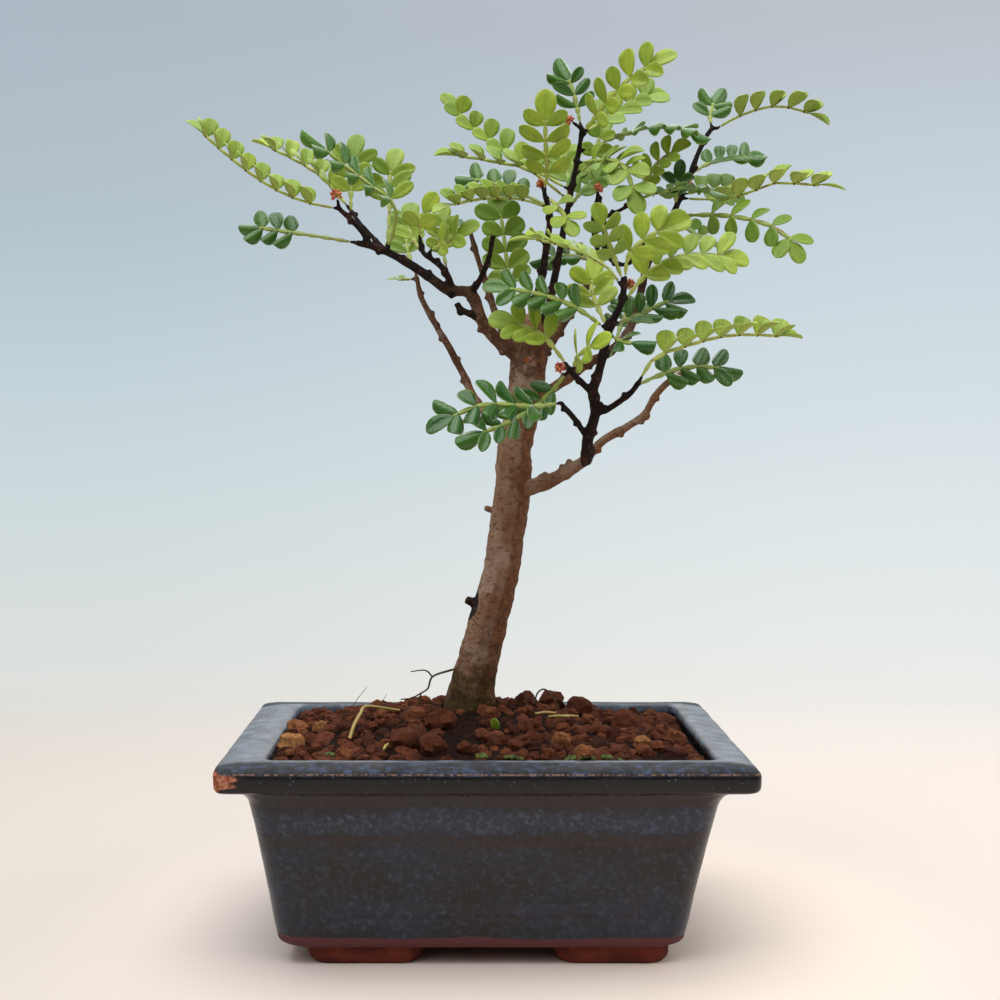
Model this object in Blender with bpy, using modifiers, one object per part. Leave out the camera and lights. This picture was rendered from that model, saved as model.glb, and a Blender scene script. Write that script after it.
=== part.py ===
"""A chinese pepper bonsai in its glazed pot: bark, fronds of leaflets, bud heads, soil, drain nets and pot.

Metres, +Z up, the pot's front faces -Y. The origin is on the table, below the middle of the whole object.
The sizes below are in mm.
"""

import math
from random import Random

import bmesh
import bpy
from mathutils import Matrix, Vector, noise

MM = 0.001
GAP = 0.3                       # between two pieces that touch

# The pot's middle lies beside the origin, because the crown leans to the right.
POT_ACROSS = -9.3
# Tree points are (across, up, depth). Across and up are read on the upright plane through the pot's
# middle, in line with this eye, and depth is how far behind that plane the point lies.
EYE = Vector((-7.0, -457.0, 143.0))

# Pot. The stations are half width, half depth and height, up the outside and down the inside.
POT_STATIONS = [(57.0, 41.0, 5.0), (60.6, 43.3, 14.0), (64.2, 45.8, 26.0), (66.9, 47.9, 38.0),
                (69.0, 49.6, 44.5), (72.8, 53.0, 49.5), (75.0, 55.0, 52.2), (75.0, 55.0, 58.0),
                (74.0, 54.0, 59.0), (63.6, 43.6, 59.0), (63.0, 43.0, 58.4), (52.5, 36.0, 10.5)]
FLOOR_TOP = 10.5
CORNER = 7.0
CORNER_SEGMENTS = 3
PANEL = (84.0, 24.0, 26.0)      # length, height and middle height of the sunk panels, front and back
PANEL_WALL = 45.8               # half depth of the pot at the panel's middle
PANEL_DEPTH = 1.0
PANEL_CORNER = 4.0
WALL_LEAN = 11.0
FOOT = (16.5, 8.5, 6.5)         # half width, half depth and height; the top is sunk in the pot's floor
FOOT_TAPER = 1.5
FOOT_PLACE = (35.2, 31.0)
FOOT_CORNER = 5.0
DRAIN_RADIUS = 6.0
DRAIN_PLACE = 28.0
NET_HALF = 10.0
NET_THICKNESS = 0.8

# Soil
SOIL_BOTTOM = (52.2, 35.7, 10.8)
SOIL_TOP = (62.8, 42.8, 59.4)
SOIL_CORNER = 7.2
SOIL_EDGE = 56.9                # height of the soil along the rim
SOIL_MOUND = 9.0                # rise of the soil round the trunk
SOIL_MOUND_SPREAD = 38.0
SOIL_GRAIN = 6.5                # size of a soil granule
SOIL_RELIEF = 2.6
SOIL_CELLS = (21, 14)
TRUNK_HOLE_RADIUS = 9.5

# Wood. The trunk is (across, up, depth, radius), and a stem is its points, first and last radius.
TRUNK = [(-5.0, 44.6, 8.0, 9.0), (-5.0, 63.0, 8.0, 9.0), (-5.0, 68.3, 8.0, 8.2), (-4.4, 73.6, 7.0, 7.1),
         (-2.7, 80.4, 5.5, 6.6), (0.6, 93.7, 3.0, 6.2), (4.3, 107.3, 1.0, 5.7), (6.2, 120.7, 0.0, 5.8),
         (8.2, 134.3, 0.0, 5.7), (8.8, 147.6, 0.5, 5.4), (10.8, 157.0, 1.0, 5.6), (12.7, 168.0, 2.0, 5.7),
         (13.1, 178.0, 2.5, 5.8), (13.4, 184.5, 3.0, 4.6), (13.6, 188.0, 3.0, 2.4)]
STEMS = {
    "left_main": ([(10.5, 174.5, 1), (3.1, 180.2, -2), (-0.8, 185.0, -3), (-2.9, 190.1, -4),
                   (-5.3, 194.8, -5), (-12.0, 196.0, -6), (-19.3, 200.7, -7), (-27.0, 205.6, -7),
                   (-33.2, 208.4, -6), (-40.0, 210.3, -5)], 2.3, 1.0),
    "left_stub": ([(-2.2, 187.0, -3), (-7.8, 189.8, -7), (-9.3, 191.7, -8)], 1.3, 1.0),
    "left_up": ([(-5.0, 194.6, -5), (-2.0, 199.0, -7), (0.9, 206.5, -8), (2.1, 212.7, -9)], 1.1, 0.8),
    "left_second": ([(-10.6, 195.5, -6), (-12.4, 200.4, -8), (-15.0, 203.8, -9), (-19.6, 207.0, -8),
                     (-20.5, 210.3, -7)], 1.1, 0.8),
    "left_tip": ([(-35.7, 209.0, -6), (-38.8, 213.7, -6), (-41.9, 217.4, -5), (-45.6, 220.8, -4)], 1.0, 0.8),
    "left_back": ([(-30.0, 207.0, -6), (-35.0, 211.5, 4), (-39.5, 217.0, 12), (-42.5, 221.0, 18)], 0.9, 0.7),
    "left_thin": ([(9.0, 176.0, 4), (4.2, 184.5, 9), (0.0, 197.0, 11), (-2.2, 204.0, 12),
                   (-5.6, 215.5, 13)], 1.4, 0.8),
    "low_left": ([(8.6, 148.5, 3), (2.0, 155.0, 10), (-3.5, 162.0, 16), (-8.0, 171.0, 20),
                  (-15.0, 183.6, 24), (-19.9, 192.6, 25), (-21.7, 199.7, 26)], 1.6, 0.9),
    "low_right": ([(9.0, 133.0, -1), (17.9, 135.9, -4), (24.2, 139.0, -8), (31.3, 143.3, -12)], 2.4, 1.9),
    "low_right_brown": ([(30.5, 142.9, -12), (36.5, 149.2, -12), (44.3, 153.9, -10), (49.0, 157.0, -8),
                         (53.6, 164.7, -5), (62.9, 171.5, -3)], 1.4, 1.0),
    "front": ([(31.0, 142.6, -12), (31.3, 149.2, -17), (33.8, 158.5, -22), (33.1, 163.2, -24),
               (34.4, 169.4, -26), (36.6, 178.6, -29), (38.7, 184.9, -30), (41.8, 191.1, -32),
               (42.8, 197.0, -33)], 1.9, 1.0),
    "front_low": ([(31.4, 150.0, -17), (27.3, 155.4, -24), (24.8, 158.5, -29), (23.2, 160.7, -32)], 1.0, 0.8),
    "front_left": ([(33.3, 163.5, -24), (28.8, 167.5, -26), (25.7, 171.2, -28)], 1.1, 0.9),
    "front_right": ([(33.8, 157.5, -22), (38.1, 159.1, -24), (44.3, 163.8, -28), (47.1, 167.0, -30)], 1.1, 0.9),
    "right": ([(13.0, 172.0, 3), (18.9, 177.7, 7), (23.2, 184.9, 12), (30.4, 195.7, 17), (34.4, 203.8, 20),
               (36.9, 209.7, 22), (35.9, 219.0, 24), (34.4, 225.2, 25)], 1.9, 0.8),
    "right_twin": ([(34.9, 204.8, 20), (33.1, 215.9, 14), (34.1, 223.0, 12)], 1.0, 0.8),
    "right_cross": ([(36.2, 207.5, 21), (40.6, 203.6, 15), (44.9, 204.4, 9), (48.9, 210.3, 4)], 0.9, 0.7),
    "right_link": ([(36.1, 218.0, 24), (42.0, 221.0, 16), (46.0, 223.5, 10)], 0.8, 0.7),
    "far_right": ([(11.5, 160.5, 3), (21.4, 165.9, 7), (30.4, 172.1, 11), (38.7, 177.1, 14),
                   (44.9, 184.9, 16), (48.9, 200.4, 17), (51.1, 206.6, 18), (55.2, 211.2, 19),
                   (57.6, 219.0, 20), (60.4, 225.2, 20), (66.9, 240.7, 21), (70.0, 246.0, 22)], 1.8, 0.8),
    "crown_low": ([(13.4, 182.0, 3), (14.9, 191.1, 2), (16.7, 198.8, 1), (18.9, 211.2, 0),
                   (19.8, 219.0, -1), (18.0, 225.2, -2)], 1.6, 0.9),
    "crown": ([(14.0, 181.0, 4), (18.9, 189.5, 6), (22.0, 204.4, 8), (24.8, 219.6, 8), (27.6, 233.5, 8),
               (29.7, 245.6, 6)], 1.4, 0.8),
}
STEM_STEP = 9.0
# Swellings where shoots were cut or leaves have dropped: across, up, depth, radius
KNOBS = [(-5.3, 195.0, -5.0, 2.4), (-8.0, 189.0, -7.0, 1.7), (-13.0, 201.0, -8.3, 1.5), (-15.4, 184.8, 24.0, 1.5),
         (18.0, 136.3, -4.0, 3.0), (25.4, 141.0, -8.6, 2.6), (49.3, 156.6, -8.0, 1.8), (33.4, 162.4, -23.8, 2.2),
         (35.2, 205.5, 20.5, 1.7), (48.0, 196.0, 16.6, 1.6), (-4.4, 98.6, 2.0, 2.2), (1.0, 127.6, -0.6, 2.0)]

# Fronds: the path from foot to the end leaflet's tip as (across, up, depth), the pairs of leaflets, the
# tilt of the upper side from straight up towards the front, the fold of each row of leaflets above the
# blade's plane, the share of the path that is bare stalk, and a leaflet's length.
FRONDS = {
    "left": [
        ([(-45.6, 220.8, -4), (-58.0, 223.6, -4), (-69.8, 229.5, -3), (-82.2, 239.1, -1), (-92.7, 249.0, 2)],
         8, 12, 58, 0.12, 7.5),
        ([(-40.0, 210.3, -5), (-55.5, 212.8, 2), (-69.8, 214.9, 8), (-77.2, 215.9, 11)], 3, 60, 15, 0.5, 8.0),
        ([(-42.5, 221.0, 18), (-51.8, 231.4, 23), (-64.2, 238.5, 27), (-72.9, 241.6, 30)], 5, 20, 40, 0.2, 8.0),
        ([(-30.7, 207.0, -7), (-28.0, 221.1, -14), (-36.3, 228.3, -18), (-46.2, 236.0, -21),
          (-57.4, 245.6, -24)], 5, 35, 20, 0.32, 9.0),
        ([(-42.0, 217.6, -5), (-41.9, 231.4, -1), (-39.7, 244.5, 2)], 3, 85, 15, 0.25, 9.0),
        ([(-31.0, 207.5, -6), (-30.0, 222.0, 0), (-30.0, 231.0, 4), (-26.5, 240.0, 7)], 3, 80, 10, 0.45, 9.0),
        ([(-20.5, 209.8, -7), (-20.8, 216.8, -8), (-18.6, 221.1, -9), (-16.0, 226.5, -10)], 1, 70, 25, 0.1, 7.5),
        ([(-19.6, 206.6, -8), (-13.0, 210.3, -13), (-7.8, 213.4, -16), (-2.2, 215.9, -19)], 2, 60, 25, 0.2, 8.0),
        ([(-20.0, 206.6, -8), (-23.9, 213.9, 2), (-27.0, 219.9, 9)], 2, 60, 20, 0.3, 7.5),
    ],
    "centre": [
        ([(19.5, 221.0, -2), (10.2, 223.9, -9), (-2.2, 223.9, -15), (-17.1, 220.5, -21)], 6, 20, 60, 0.2, 7.5),
        ([(26.0, 226.5, 8), (10.2, 236.0, 15), (0.0, 243.1, 19), (-5.3, 246.9, 20), (-14.0, 256.8, 22)],
         6, 40, 35, 0.2, 8.0),
        ([(25.5, 223.5, 8), (13.3, 232.9, 3), (4.0, 235.1, 0), (-5.3, 236.9, -2), (-16.5, 237.6, -4)],
         5, 30, 35, 0.25, 8.0),
        ([(24.8, 219.0, 8), (4.0, 228.3, 28), (-10.0, 230.7, 37)], 4, 60, 15, 0.4, 8.0),
        ([(18.0, 225.2, -2), (18.8, 233.3, -7), (18.2, 243.1, -11), (18.4, 258.3, -14)], 4, 85, 8, 0.15, 9.5),
        ([(12.0, 186.0, 4), (7.0, 200.4, 18), (4.9, 215.9, 24), (2.5, 227.0, 28)], 5, 80, 10, 0.3, 9.5),
    ],
    "top": [
        ([(29.5, 245.2, 6), (26.6, 258.0, 9), (21.7, 267.9, 12)], 3, 70, 20, 0.2, 9.0),
        ([(29.5, 243.5, 6), (38.1, 255.1, -5), (47.1, 263.3, -9), (59.2, 269.2, -12)], 5, 65, 20, 0.15, 9.0),
        ([(29.6, 244.0, 6), (41.2, 251.4, 15), (47.7, 255.2, 19), (56.7, 256.8, 24)], 4, 60, 25, 0.2, 8.5),
        ([(28.7, 238.6, 7), (47.4, 245.4, 2), (59.8, 245.9, 1), (69.7, 242.2, 0)], 5, 15, 15, 0.25, 8.5),
        ([(28.0, 235.2, 8), (40.6, 235.7, -9), (44.9, 228.6, -15), (46.8, 218.6, -18)], 4, 60, 15, 0.3, 8.5),
    ],
    "right": [
        ([(70.0, 245.0, 22), (79.0, 249.9, 19), (89.3, 252.7, 16), (99.5, 250.6, 13), (105.4, 245.6, 11)],
         5, 10, 62, 0.18, 8.0),
        ([(69.8, 245.5, 22), (69.5, 251.5, 28), (74.1, 258.5, 33)], 2, 70, 20, 0.2, 8.5),
        ([(63.0, 231.5, 20.5), (70.7, 235.5, 29), (87.1, 237.5, 38)], 4, 40, 25, 0.25, 8.5),
        ([(60.0, 224.0, 20), (75.9, 224.2, 12), (89.3, 228.9, 4), (97.0, 228.6, 1), (111.6, 227.6, -4)],
         6, 15, 45, 0.2, 8.5),
        ([(60.4, 225.2, 20), (69.1, 226.9, 28), (80.9, 226.5, 38)], 3, 60, 10, 0.25, 8.5),
        ([(57.4, 218.5, 20), (70.7, 219.0, 8), (83.0, 217.3, 0), (93.0, 212.8, -5), (97.0, 203.4, -8)],
         5, 75, -10, 0.25, 8.0),
        ([(58.5, 221.0, 20), (59.0, 228.0, 12), (60.5, 236.5, 9)], 2, 80, 10, 0.15, 7.0),
        ([(46.0, 223.5, 10), (55.2, 226.4, 3), (66.0, 227.3, -2), (74.7, 223.6, -5)], 4, 5, 15, 0.2, 8.5),
    ],
    "front": [
        ([(42.8, 197.0, -33), (44.5, 207.5, -34), (54.2, 214.3, -33), (64.1, 216.2, -32)], 3, 75, 10, 0.25, 9.5),
        ([(41.5, 190.5, -32), (49.9, 201.0, -28), (59.8, 206.2, -25), (72.8, 206.2, -22), (81.2, 202.8, -20)],
         6, 60, 20, 0.2, 9.0),
        ([(38.7, 184.9, -30), (47.4, 188.0, -25), (56.1, 192.0, -22), (65.1, 190.1, -20)], 4, 55, 25, 0.12, 9.0),
        ([(47.1, 167.0, -30), (52.0, 174.5, -28), (62.9, 178.7, -25), (76.9, 181.8, -19), (97.9, 181.1, -11)],
         7, 20, 50, 0.18, 8.0),
        ([(46.2, 165.9, -29.2), (53.0, 169.0, -22), (63.8, 172.0, -16), (80.0, 170.5, -12)], 4, 60, 10, 0.3, 8.5),
        ([(37.8, 182.0, -29.5), (43.7, 179.2, -37), (53.0, 180.6, -42)], 1, 65, 10, 0.2, 8.0),
        ([(25.7, 171.2, -28), (18.0, 162.0, -21), (7.1, 154.8, -20), (-10.0, 148.3, -22)], 6, 60, 20, 0.15, 9.0),
        ([(23.2, 160.7, -32), (14.0, 159.6, -39), (-2.2, 160.0, -44), (-18.9, 151.7, -46)], 5, 50, 15, 0.2, 9.0),
        ([(25.8, 171.0, -28), (21.0, 177.6, -28), (14.9, 183.3, -27), (0.3, 187.0, -25)], 3, 60, 20, 0.3, 9.0),
        ([(26.5, 170.3, -27.5), (29.4, 176.5, -37), (39.3, 181.1, -46)], 2, 65, 15, 0.25, 8.5),
        ([(38.0, 183.0, -30), (26.3, 191.0, -31), (13.3, 195.1, -29), (-1.6, 196.9, -27)], 5, 60, 15, 0.22, 8.5),
        ([(42.6, 196.0, -33), (35.6, 204.1, -31), (19.5, 210.6, -28), (6.5, 211.2, -26)], 5, 10, 20, 0.25, 8.5),
        ([(38.0, 183.0, -29.5), (33.5, 192.6, -20), (32.5, 198.0, -16), (35.5, 207.0, -14)], 3, 80, 8, 0.3, 9.0),
    ],
    "back": [
        ([(34.4, 203.8, 20), (26.0, 206.5, 25), (13.0, 204.5, 28)], 3, 50, 20, 0.15, 7.5),
        ([(34.4, 225.2, 25), (37.0, 238.5, 30)], 2, 80, 10, 0.1, 6.0),
        ([(-21.7, 199.0, 26), (-31.0, 199.1, 29)], 1, 20, 20, 0.2, 4.0),
        ([(-21.7, 199.7, 26), (-25.0, 211.0, 36), (-23.0, 223.0, 44)], 4, 60, 20, 0.3, 8.5),
        ([(-5.6, 215.5, 13), (-11.5, 213.5, 24), (-13.5, 206.5, 35)], 3, 50, 20, 0.25, 8.0),
        ([(39.5, 178.0, 14.5), (43.0, 188.0, 30), (48.0, 194.0, 42)], 4, 40, 20, 0.25, 8.5),
        ([(25.4, 222.5, 8), (25.0, 232.0, 20), (21.0, 241.0, 34)], 4, 50, 20, 0.25, 8.5),
    ],
}
STALK_WIDTH = 1.2
BLADE_THICKNESS = 0.65
STALK_STEP = 12.0
PATH_STEP = 0.8
LEAFLET_ROOT = 1.3              # length of the stalk that a leaflet grows from
LEAFLET_WIDTH = 0.6             # share of its length
LEAFLET_WIDEST = 0.55           # share of its length where it is widest
LEAFLET_TIP = 0.24              # half width of its blunt tip, as a share of its width
LEAFLET_SWEEP = 58.0            # degrees from the stalk
LEAFLET_TWIST = 22.0            # degrees round its own middle, so that each leaflet lies over the next
LEAFLET_CROWDING = 0.95         # its most width, as a share of the way between two pairs
SEAT_RADIUS = 0.78              # the stalk of the wood that carries a frond's foot
SEAT_LENGTH = 1.2
SEAT_CLEAR = 1.5                # how far from the bark a frond's foot starts

# Heads of small buds: across, up, depth, radius
BUDS = {
    "bud_left": (-46.6, 225.2, -7.0, 1.9),
    "bud_crown": (25.6, 248.4, 3.0, 1.7),
    "bud_crown_low": (17.0, 228.6, 1.8, 1.8),
    "bud_right": (34.6, 227.2, 12.0, 1.8),
    "bud_far_right": (63.0, 227.6, 16.6, 1.8),
    "bud_front": (44.4, 197.6, -28.8, 1.7),
    "bud_front_left": (22.8, 171.6, -31.6, 1.7),
}
BUD_GRAIN = 0.72                # radius of a head between its buds, as a share of its radius


def tree_point(across, up, depth):
    """The place of a tree point, `depth` behind the middle plane and in line with the eye."""
    on_plane = Vector((across, 0.0, up))
    return EYE + (on_plane - EYE) * ((depth - EYE.y) / -EYE.y) + Vector((POT_ACROSS, 0.0, 0.0))


def material(name, colour, roughness):
    made = bpy.data.materials.new(name)
    made.use_nodes = True
    shader = made.node_tree.nodes["Principled BSDF"]
    shader.inputs["Base Color"].default_value = (*colour, 1.0)
    shader.inputs["Roughness"].default_value = roughness
    made.diffuse_color = (*colour, 1.0)
    return made


def add_mesh(name, bm, collection, surface=None):
    """Turn a bmesh in mm into an object in metres."""
    bmesh.ops.scale(bm, vec=(MM, MM, MM), verts=bm.verts[:])
    mesh = bpy.data.meshes.new(name)
    bm.to_mesh(mesh)
    bm.free()
    made = bpy.data.objects.new(name, mesh)
    collection.objects.link(made)
    if surface:
        mesh.materials.append(surface)
    return made


def add_cutter(name, bm, collection):
    cutter = add_mesh(name, bm, collection)
    cutter.hide_render = True
    cutter.display_type = "WIRE"
    return cutter


def add_collection(name, parent):
    made = bpy.data.collections.new(name)
    parent.children.link(made)
    return made


def remove_collection(collection):
    for item in list(collection.objects):
        bpy.data.objects.remove(item)
    bpy.data.collections.remove(collection)


def add_boolean(target, operation, operand):
    """Cut or join the target with one object, or with all the objects of a collection."""
    modifier = target.modifiers.new(operation.title(), "BOOLEAN")
    modifier.operation = operation
    modifier.solver = "EXACT"
    if isinstance(operand, bpy.types.Collection):
        modifier.operand_type = "COLLECTION"
        modifier.collection = operand
    else:
        modifier.object = operand


def apply_modifiers(target):
    """Replace the object's mesh by the one that its modifiers give."""
    depsgraph = bpy.context.evaluated_depsgraph_get()
    mesh = bpy.data.meshes.new_from_object(target.evaluated_get(depsgraph), depsgraph=depsgraph)
    target.modifiers.clear()
    target.data = mesh


def join_flat_faces(target):
    """Join the faces that lie in one plane, which a union leaves split."""
    bm = bmesh.new()
    bm.from_mesh(target.data)
    bmesh.ops.remove_doubles(bm, verts=bm.verts[:], dist=0.000005)
    bmesh.ops.dissolve_limit(bm, angle_limit=math.radians(2.0), verts=bm.verts[:], edges=bm.edges[:])
    bm.to_mesh(target.data)
    bm.free()


def moved(bm, offset):
    bmesh.ops.translate(bm, vec=offset, verts=bm.verts[:])
    return bm


def rounded_loft(stations, corner):
    """A closed solid through rounded rectangles, each a half width, a half depth and a height."""
    bm = bmesh.new()
    bmesh.ops.create_grid(bm, x_segments=1, y_segments=1, size=1.0)
    half_x, half_y, height = stations[0]
    for vert in bm.verts:
        vert.co = Vector((vert.co.x * half_x, vert.co.y * half_y, height))
    bmesh.ops.bevel(bm, geom=bm.verts[:], offset=corner, offset_type="OFFSET", affect="VERTICES",
                    segments=CORNER_SEGMENTS, profile=0.5)
    face = bm.faces[:][0]
    for number, (next_x, next_y, next_height) in enumerate(stations[1:]):
        made = bmesh.ops.extrude_face_region(bm, geom=[face])["geom"]
        if number:
            bmesh.ops.delete(bm, geom=[face], context="FACES_ONLY")
        face = [item for item in made if isinstance(item, bmesh.types.BMFace)][0]
        for vert in face.verts:
            vert.co = Vector((vert.co.x * next_x / half_x, vert.co.y * next_y / half_y, next_height))
        half_x, half_y = next_x, next_y
    bmesh.ops.recalc_face_normals(bm, faces=bm.faces[:])
    return bm


def upright_cylinder(radius, bottom, top, place):
    bm = bmesh.new()
    middle = Matrix.Translation((place[0], place[1], (bottom + top) / 2))
    bmesh.ops.create_cone(bm, cap_ends=True, segments=24, radius1=radius, radius2=radius,
                          depth=top - bottom, matrix=middle)
    return bm


def square_plate(half, bottom, top, place):
    bm = bmesh.new()
    bmesh.ops.create_cube(bm, size=1.0)
    bmesh.ops.scale(bm, vec=(2 * half, 2 * half, top - bottom), verts=bm.verts[:])
    return moved(bm, (place[0], place[1], (bottom + top) / 2))


def panel_cutter(side):
    """The block that sinks a panel into the front (-1) or back (1) wall, leaning with that wall."""
    length, height, middle = PANEL
    outline = (length / 2, height / 2)
    block = rounded_loft([(*outline, 0.0), (*outline, 12.0)], PANEL_CORNER)
    turn = Matrix.Rotation(math.radians(side * (WALL_LEAN - 90.0)), 4, "X")
    place = Matrix.Translation((POT_ACROSS, side * (PANEL_WALL - PANEL_DEPTH), middle))
    bmesh.ops.transform(block, matrix=place @ turn, verts=block.verts[:])
    return block


def make_pot(collection, cutters):
    body = moved(rounded_loft(POT_STATIONS, CORNER), (POT_ACROSS, 0, 0))
    pot = add_mesh("pot", body, collection, material("Blue glazed stoneware", (0.05, 0.07, 0.13), 0.2))
    feet = add_collection("Feet", cutters)
    half_x, half_y, top = FOOT
    for across in (-1, 1):
        for depth in (-1, 1):
            foot = rounded_loft([(half_x - FOOT_TAPER, half_y - FOOT_TAPER, 0.0), (half_x, half_y, 2.5),
                                 (half_x, half_y, top)], FOOT_CORNER)
            place = (POT_ACROSS + across * FOOT_PLACE[0], depth * FOOT_PLACE[1], 0)
            add_mesh("foot", moved(foot, place), feet)
    add_boolean(pot, "UNION", feet)
    apply_modifiers(pot)
    remove_collection(feet)
    pot_cutters = add_collection("Pot cutters", cutters)
    for side in (-1, 1):
        add_cutter("panel", panel_cutter(side), pot_cutters)
        hole = upright_cylinder(DRAIN_RADIUS, 0.0, 20.0, (POT_ACROSS + side * DRAIN_PLACE, 0))
        add_cutter("drain", hole, pot_cutters)
    add_boolean(pot, "DIFFERENCE", pot_cutters)
    return pot


def make_drain_nets(collection):
    """A square of net over each drain hole, on the pot's floor and under the soil."""
    surface = material("Black drain net", (0.02, 0.02, 0.02), 0.6)
    bottom = FLOOR_TOP + GAP
    nets = []
    for name, side in (("drain_net_left", -1), ("drain_net_right", 1)):
        place = (POT_ACROSS + side * DRAIN_PLACE, 0)
        net = square_plate(NET_HALF, bottom, bottom + NET_THICKNESS, place)
        nets.append(add_mesh(name, net, collection, surface))
    return nets


def soil_height(x, y):
    """Height of the soil over a place beside the pot's middle: a mound round the trunk, with granules."""
    foot = tree_point(*TRUNK[0][:3])
    from_trunk = Vector((x + POT_ACROSS - foot.x, y - foot.y))
    mound = SOIL_MOUND * math.exp(-((from_trunk.length / SOIL_MOUND_SPREAD) ** 2))
    nearest, second = noise.voronoi(Vector((x / SOIL_GRAIN, y / SOIL_GRAIN, 0.0)))[0][:2]
    return SOIL_EDGE + mound + SOIL_RELIEF * (second - nearest - 0.3)


def make_soil(collection, cutters):
    bm = bmesh.new()
    half_x, half_y, above = SOIL_TOP
    bmesh.ops.create_grid(bm, x_segments=SOIL_CELLS[0], y_segments=SOIL_CELLS[1], size=1.0)
    for vert in bm.verts:
        x, y = vert.co.x * (half_x + 1.0), vert.co.y * (half_y + 1.0)
        vert.co = Vector((x, y, soil_height(x, y)))
    made = bmesh.ops.extrude_face_region(bm, geom=bm.faces[:])["geom"]
    for vert in [item for item in made if isinstance(item, bmesh.types.BMVert)]:
        vert.co.z = 0.0
    bmesh.ops.triangulate(bm, faces=bm.faces[:])
    bmesh.ops.recalc_face_normals(bm, faces=bm.faces[:])
    soil = add_mesh("soil", moved(bm, (POT_ACROSS, 0, 0)), collection,
                    material("Red brown soil granules", (0.07, 0.03, 0.015), 0.95))
    inside = moved(rounded_loft([SOIL_BOTTOM, SOIL_TOP, (half_x, half_y, above + 20.0)], SOIL_CORNER),
                   (POT_ACROSS, 0, 0))
    add_boolean(soil, "INTERSECT", add_cutter("soil_inside", inside, cutters))
    soil_cutters = add_collection("Soil cutters", cutters)
    foot = tree_point(*TRUNK[0][:3])
    hole = upright_cylinder(TRUNK_HOLE_RADIUS, foot.z - GAP, above + 30.0, foot)
    add_cutter("trunk_hole", hole, soil_cutters)
    for side in (-1, 1):
        place = (POT_ACROSS + side * DRAIN_PLACE, 0)
        recess = square_plate(NET_HALF + GAP, 0.0, FLOOR_TOP + NET_THICKNESS + 2 * GAP, place)
        add_cutter("net_recess", recess, soil_cutters)
    add_boolean(soil, "DIFFERENCE", soil_cutters)
    return soil


def smooth_points(points, spacing):
    """Points evenly spaced along a smooth curve through the given ones."""
    ends = [points[0] * 2 - points[1]] + points + [points[-1] * 2 - points[-2]]
    fine = []
    for before, start, end, after in zip(ends, ends[1:], ends[2:], ends[3:]):
        for step in range(12):
            t = step / 12
            fine.append(0.5 * (2 * start + (end - before) * t
                               + (2 * before - 5 * start + 4 * end - after) * t ** 2
                               + (3 * start - before - 3 * end + after) * t ** 3))
    fine.append(points[-1])
    lengths = [0.0]
    for start, end in zip(fine, fine[1:]):
        lengths.append(lengths[-1] + (end - start).length)
    count = max(2, round(lengths[-1] / spacing))
    made = []
    piece = 0
    for index in range(count + 1):
        wanted = lengths[-1] * index / count
        while piece < len(fine) - 2 and lengths[piece + 1] < wanted:
            piece += 1
        share = (wanted - lengths[piece]) / (lengths[piece + 1] - lengths[piece])
        made.append(fine[piece].lerp(fine[piece + 1], share))
    return made


def tube(name, points, radii, resolution, collection):
    """A round stem through the points, as a closed mesh."""
    curve = bpy.data.curves.new(name, "CURVE")
    curve.dimensions = "3D"
    curve.bevel_depth = MM
    curve.bevel_resolution = resolution
    curve.use_fill_caps = True
    spline = curve.splines.new("POLY")
    spline.points.add(len(points) - 1)
    for target, point, radius in zip(spline.points, points, radii):
        target.co = (*(point * MM), 1.0)
        target.radius = radius
    guide = bpy.data.objects.new("guide", curve)
    collection.objects.link(guide)
    depsgraph = bpy.context.evaluated_depsgraph_get()
    mesh = bpy.data.meshes.new_from_object(guide.evaluated_get(depsgraph), depsgraph=depsgraph)
    stem = bpy.data.objects.new(name, mesh)
    stem.matrix_world = guide.matrix_world
    bpy.data.objects.remove(guide)
    bm = bmesh.new()
    bm.from_mesh(mesh)
    bmesh.ops.remove_doubles(bm, verts=bm.verts[:], dist=0.00001)
    bmesh.ops.recalc_face_normals(bm, faces=bm.faces[:])
    bm.to_mesh(mesh)
    bm.free()
    collection.objects.link(stem)
    return stem


def add_ball(name, centre, radius, collection):
    bm = bmesh.new()
    bmesh.ops.create_icosphere(bm, subdivisions=1, radius=radius)
    return add_mesh(name, moved(bm, centre), collection)


class WoodLines:
    """The stems' centre lines with their radii, to find what a stalk grows from."""

    def __init__(self):
        self.points = []

    def add(self, points, radii):
        for start, end, first, last in zip(points, points[1:], radii, radii[1:]):
            for step in range(5):
                share = step / 5
                self.points.append((start.lerp(end, share), first + (last - first) * share))
        self.points.append((points[-1], radii[-1]))

    def nearest(self, place):
        """The nearest centre point, and the distance from the place to the bark round it."""
        centre, radius = min(self.points, key=lambda item: (item[0] - place).length - item[1])
        return centre, (centre - place).length - radius


def make_stems(wood):
    """The trunk with its stems and swellings, loose in the wood collection, and their centre lines."""
    lines = WoodLines()
    points = [tree_point(*place[:3]) for place in TRUNK]
    radii = [place[3] for place in TRUNK]
    trunk = tube("wood", points, radii, 3, wood)
    lines.add(points, radii)
    for name, (places, first, last) in STEMS.items():
        points = smooth_points([tree_point(*place) for place in places], STEM_STEP)
        radii = [first + (last - first) * index / (len(points) - 1) for index in range(len(points))]
        tube(name, points, radii, 1, wood)
        lines.add(points, radii)
    for across, up, depth, radius in KNOBS:
        add_ball("knob", tree_point(across, up, depth), radius, wood)
    return trunk, lines


def add_seat(seat, direction, lines, wood):
    """A short stalk from the nearest stem, that ends square to the direction and a gap short of the seat."""
    end = seat - direction * GAP
    bend = end - direction * SEAT_LENGTH
    nearest = lines.nearest(bend)[0]
    tube("seat", [nearest, bend, end], [SEAT_RADIUS, SEAT_RADIUS, SEAT_RADIUS], 0, wood)


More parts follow.
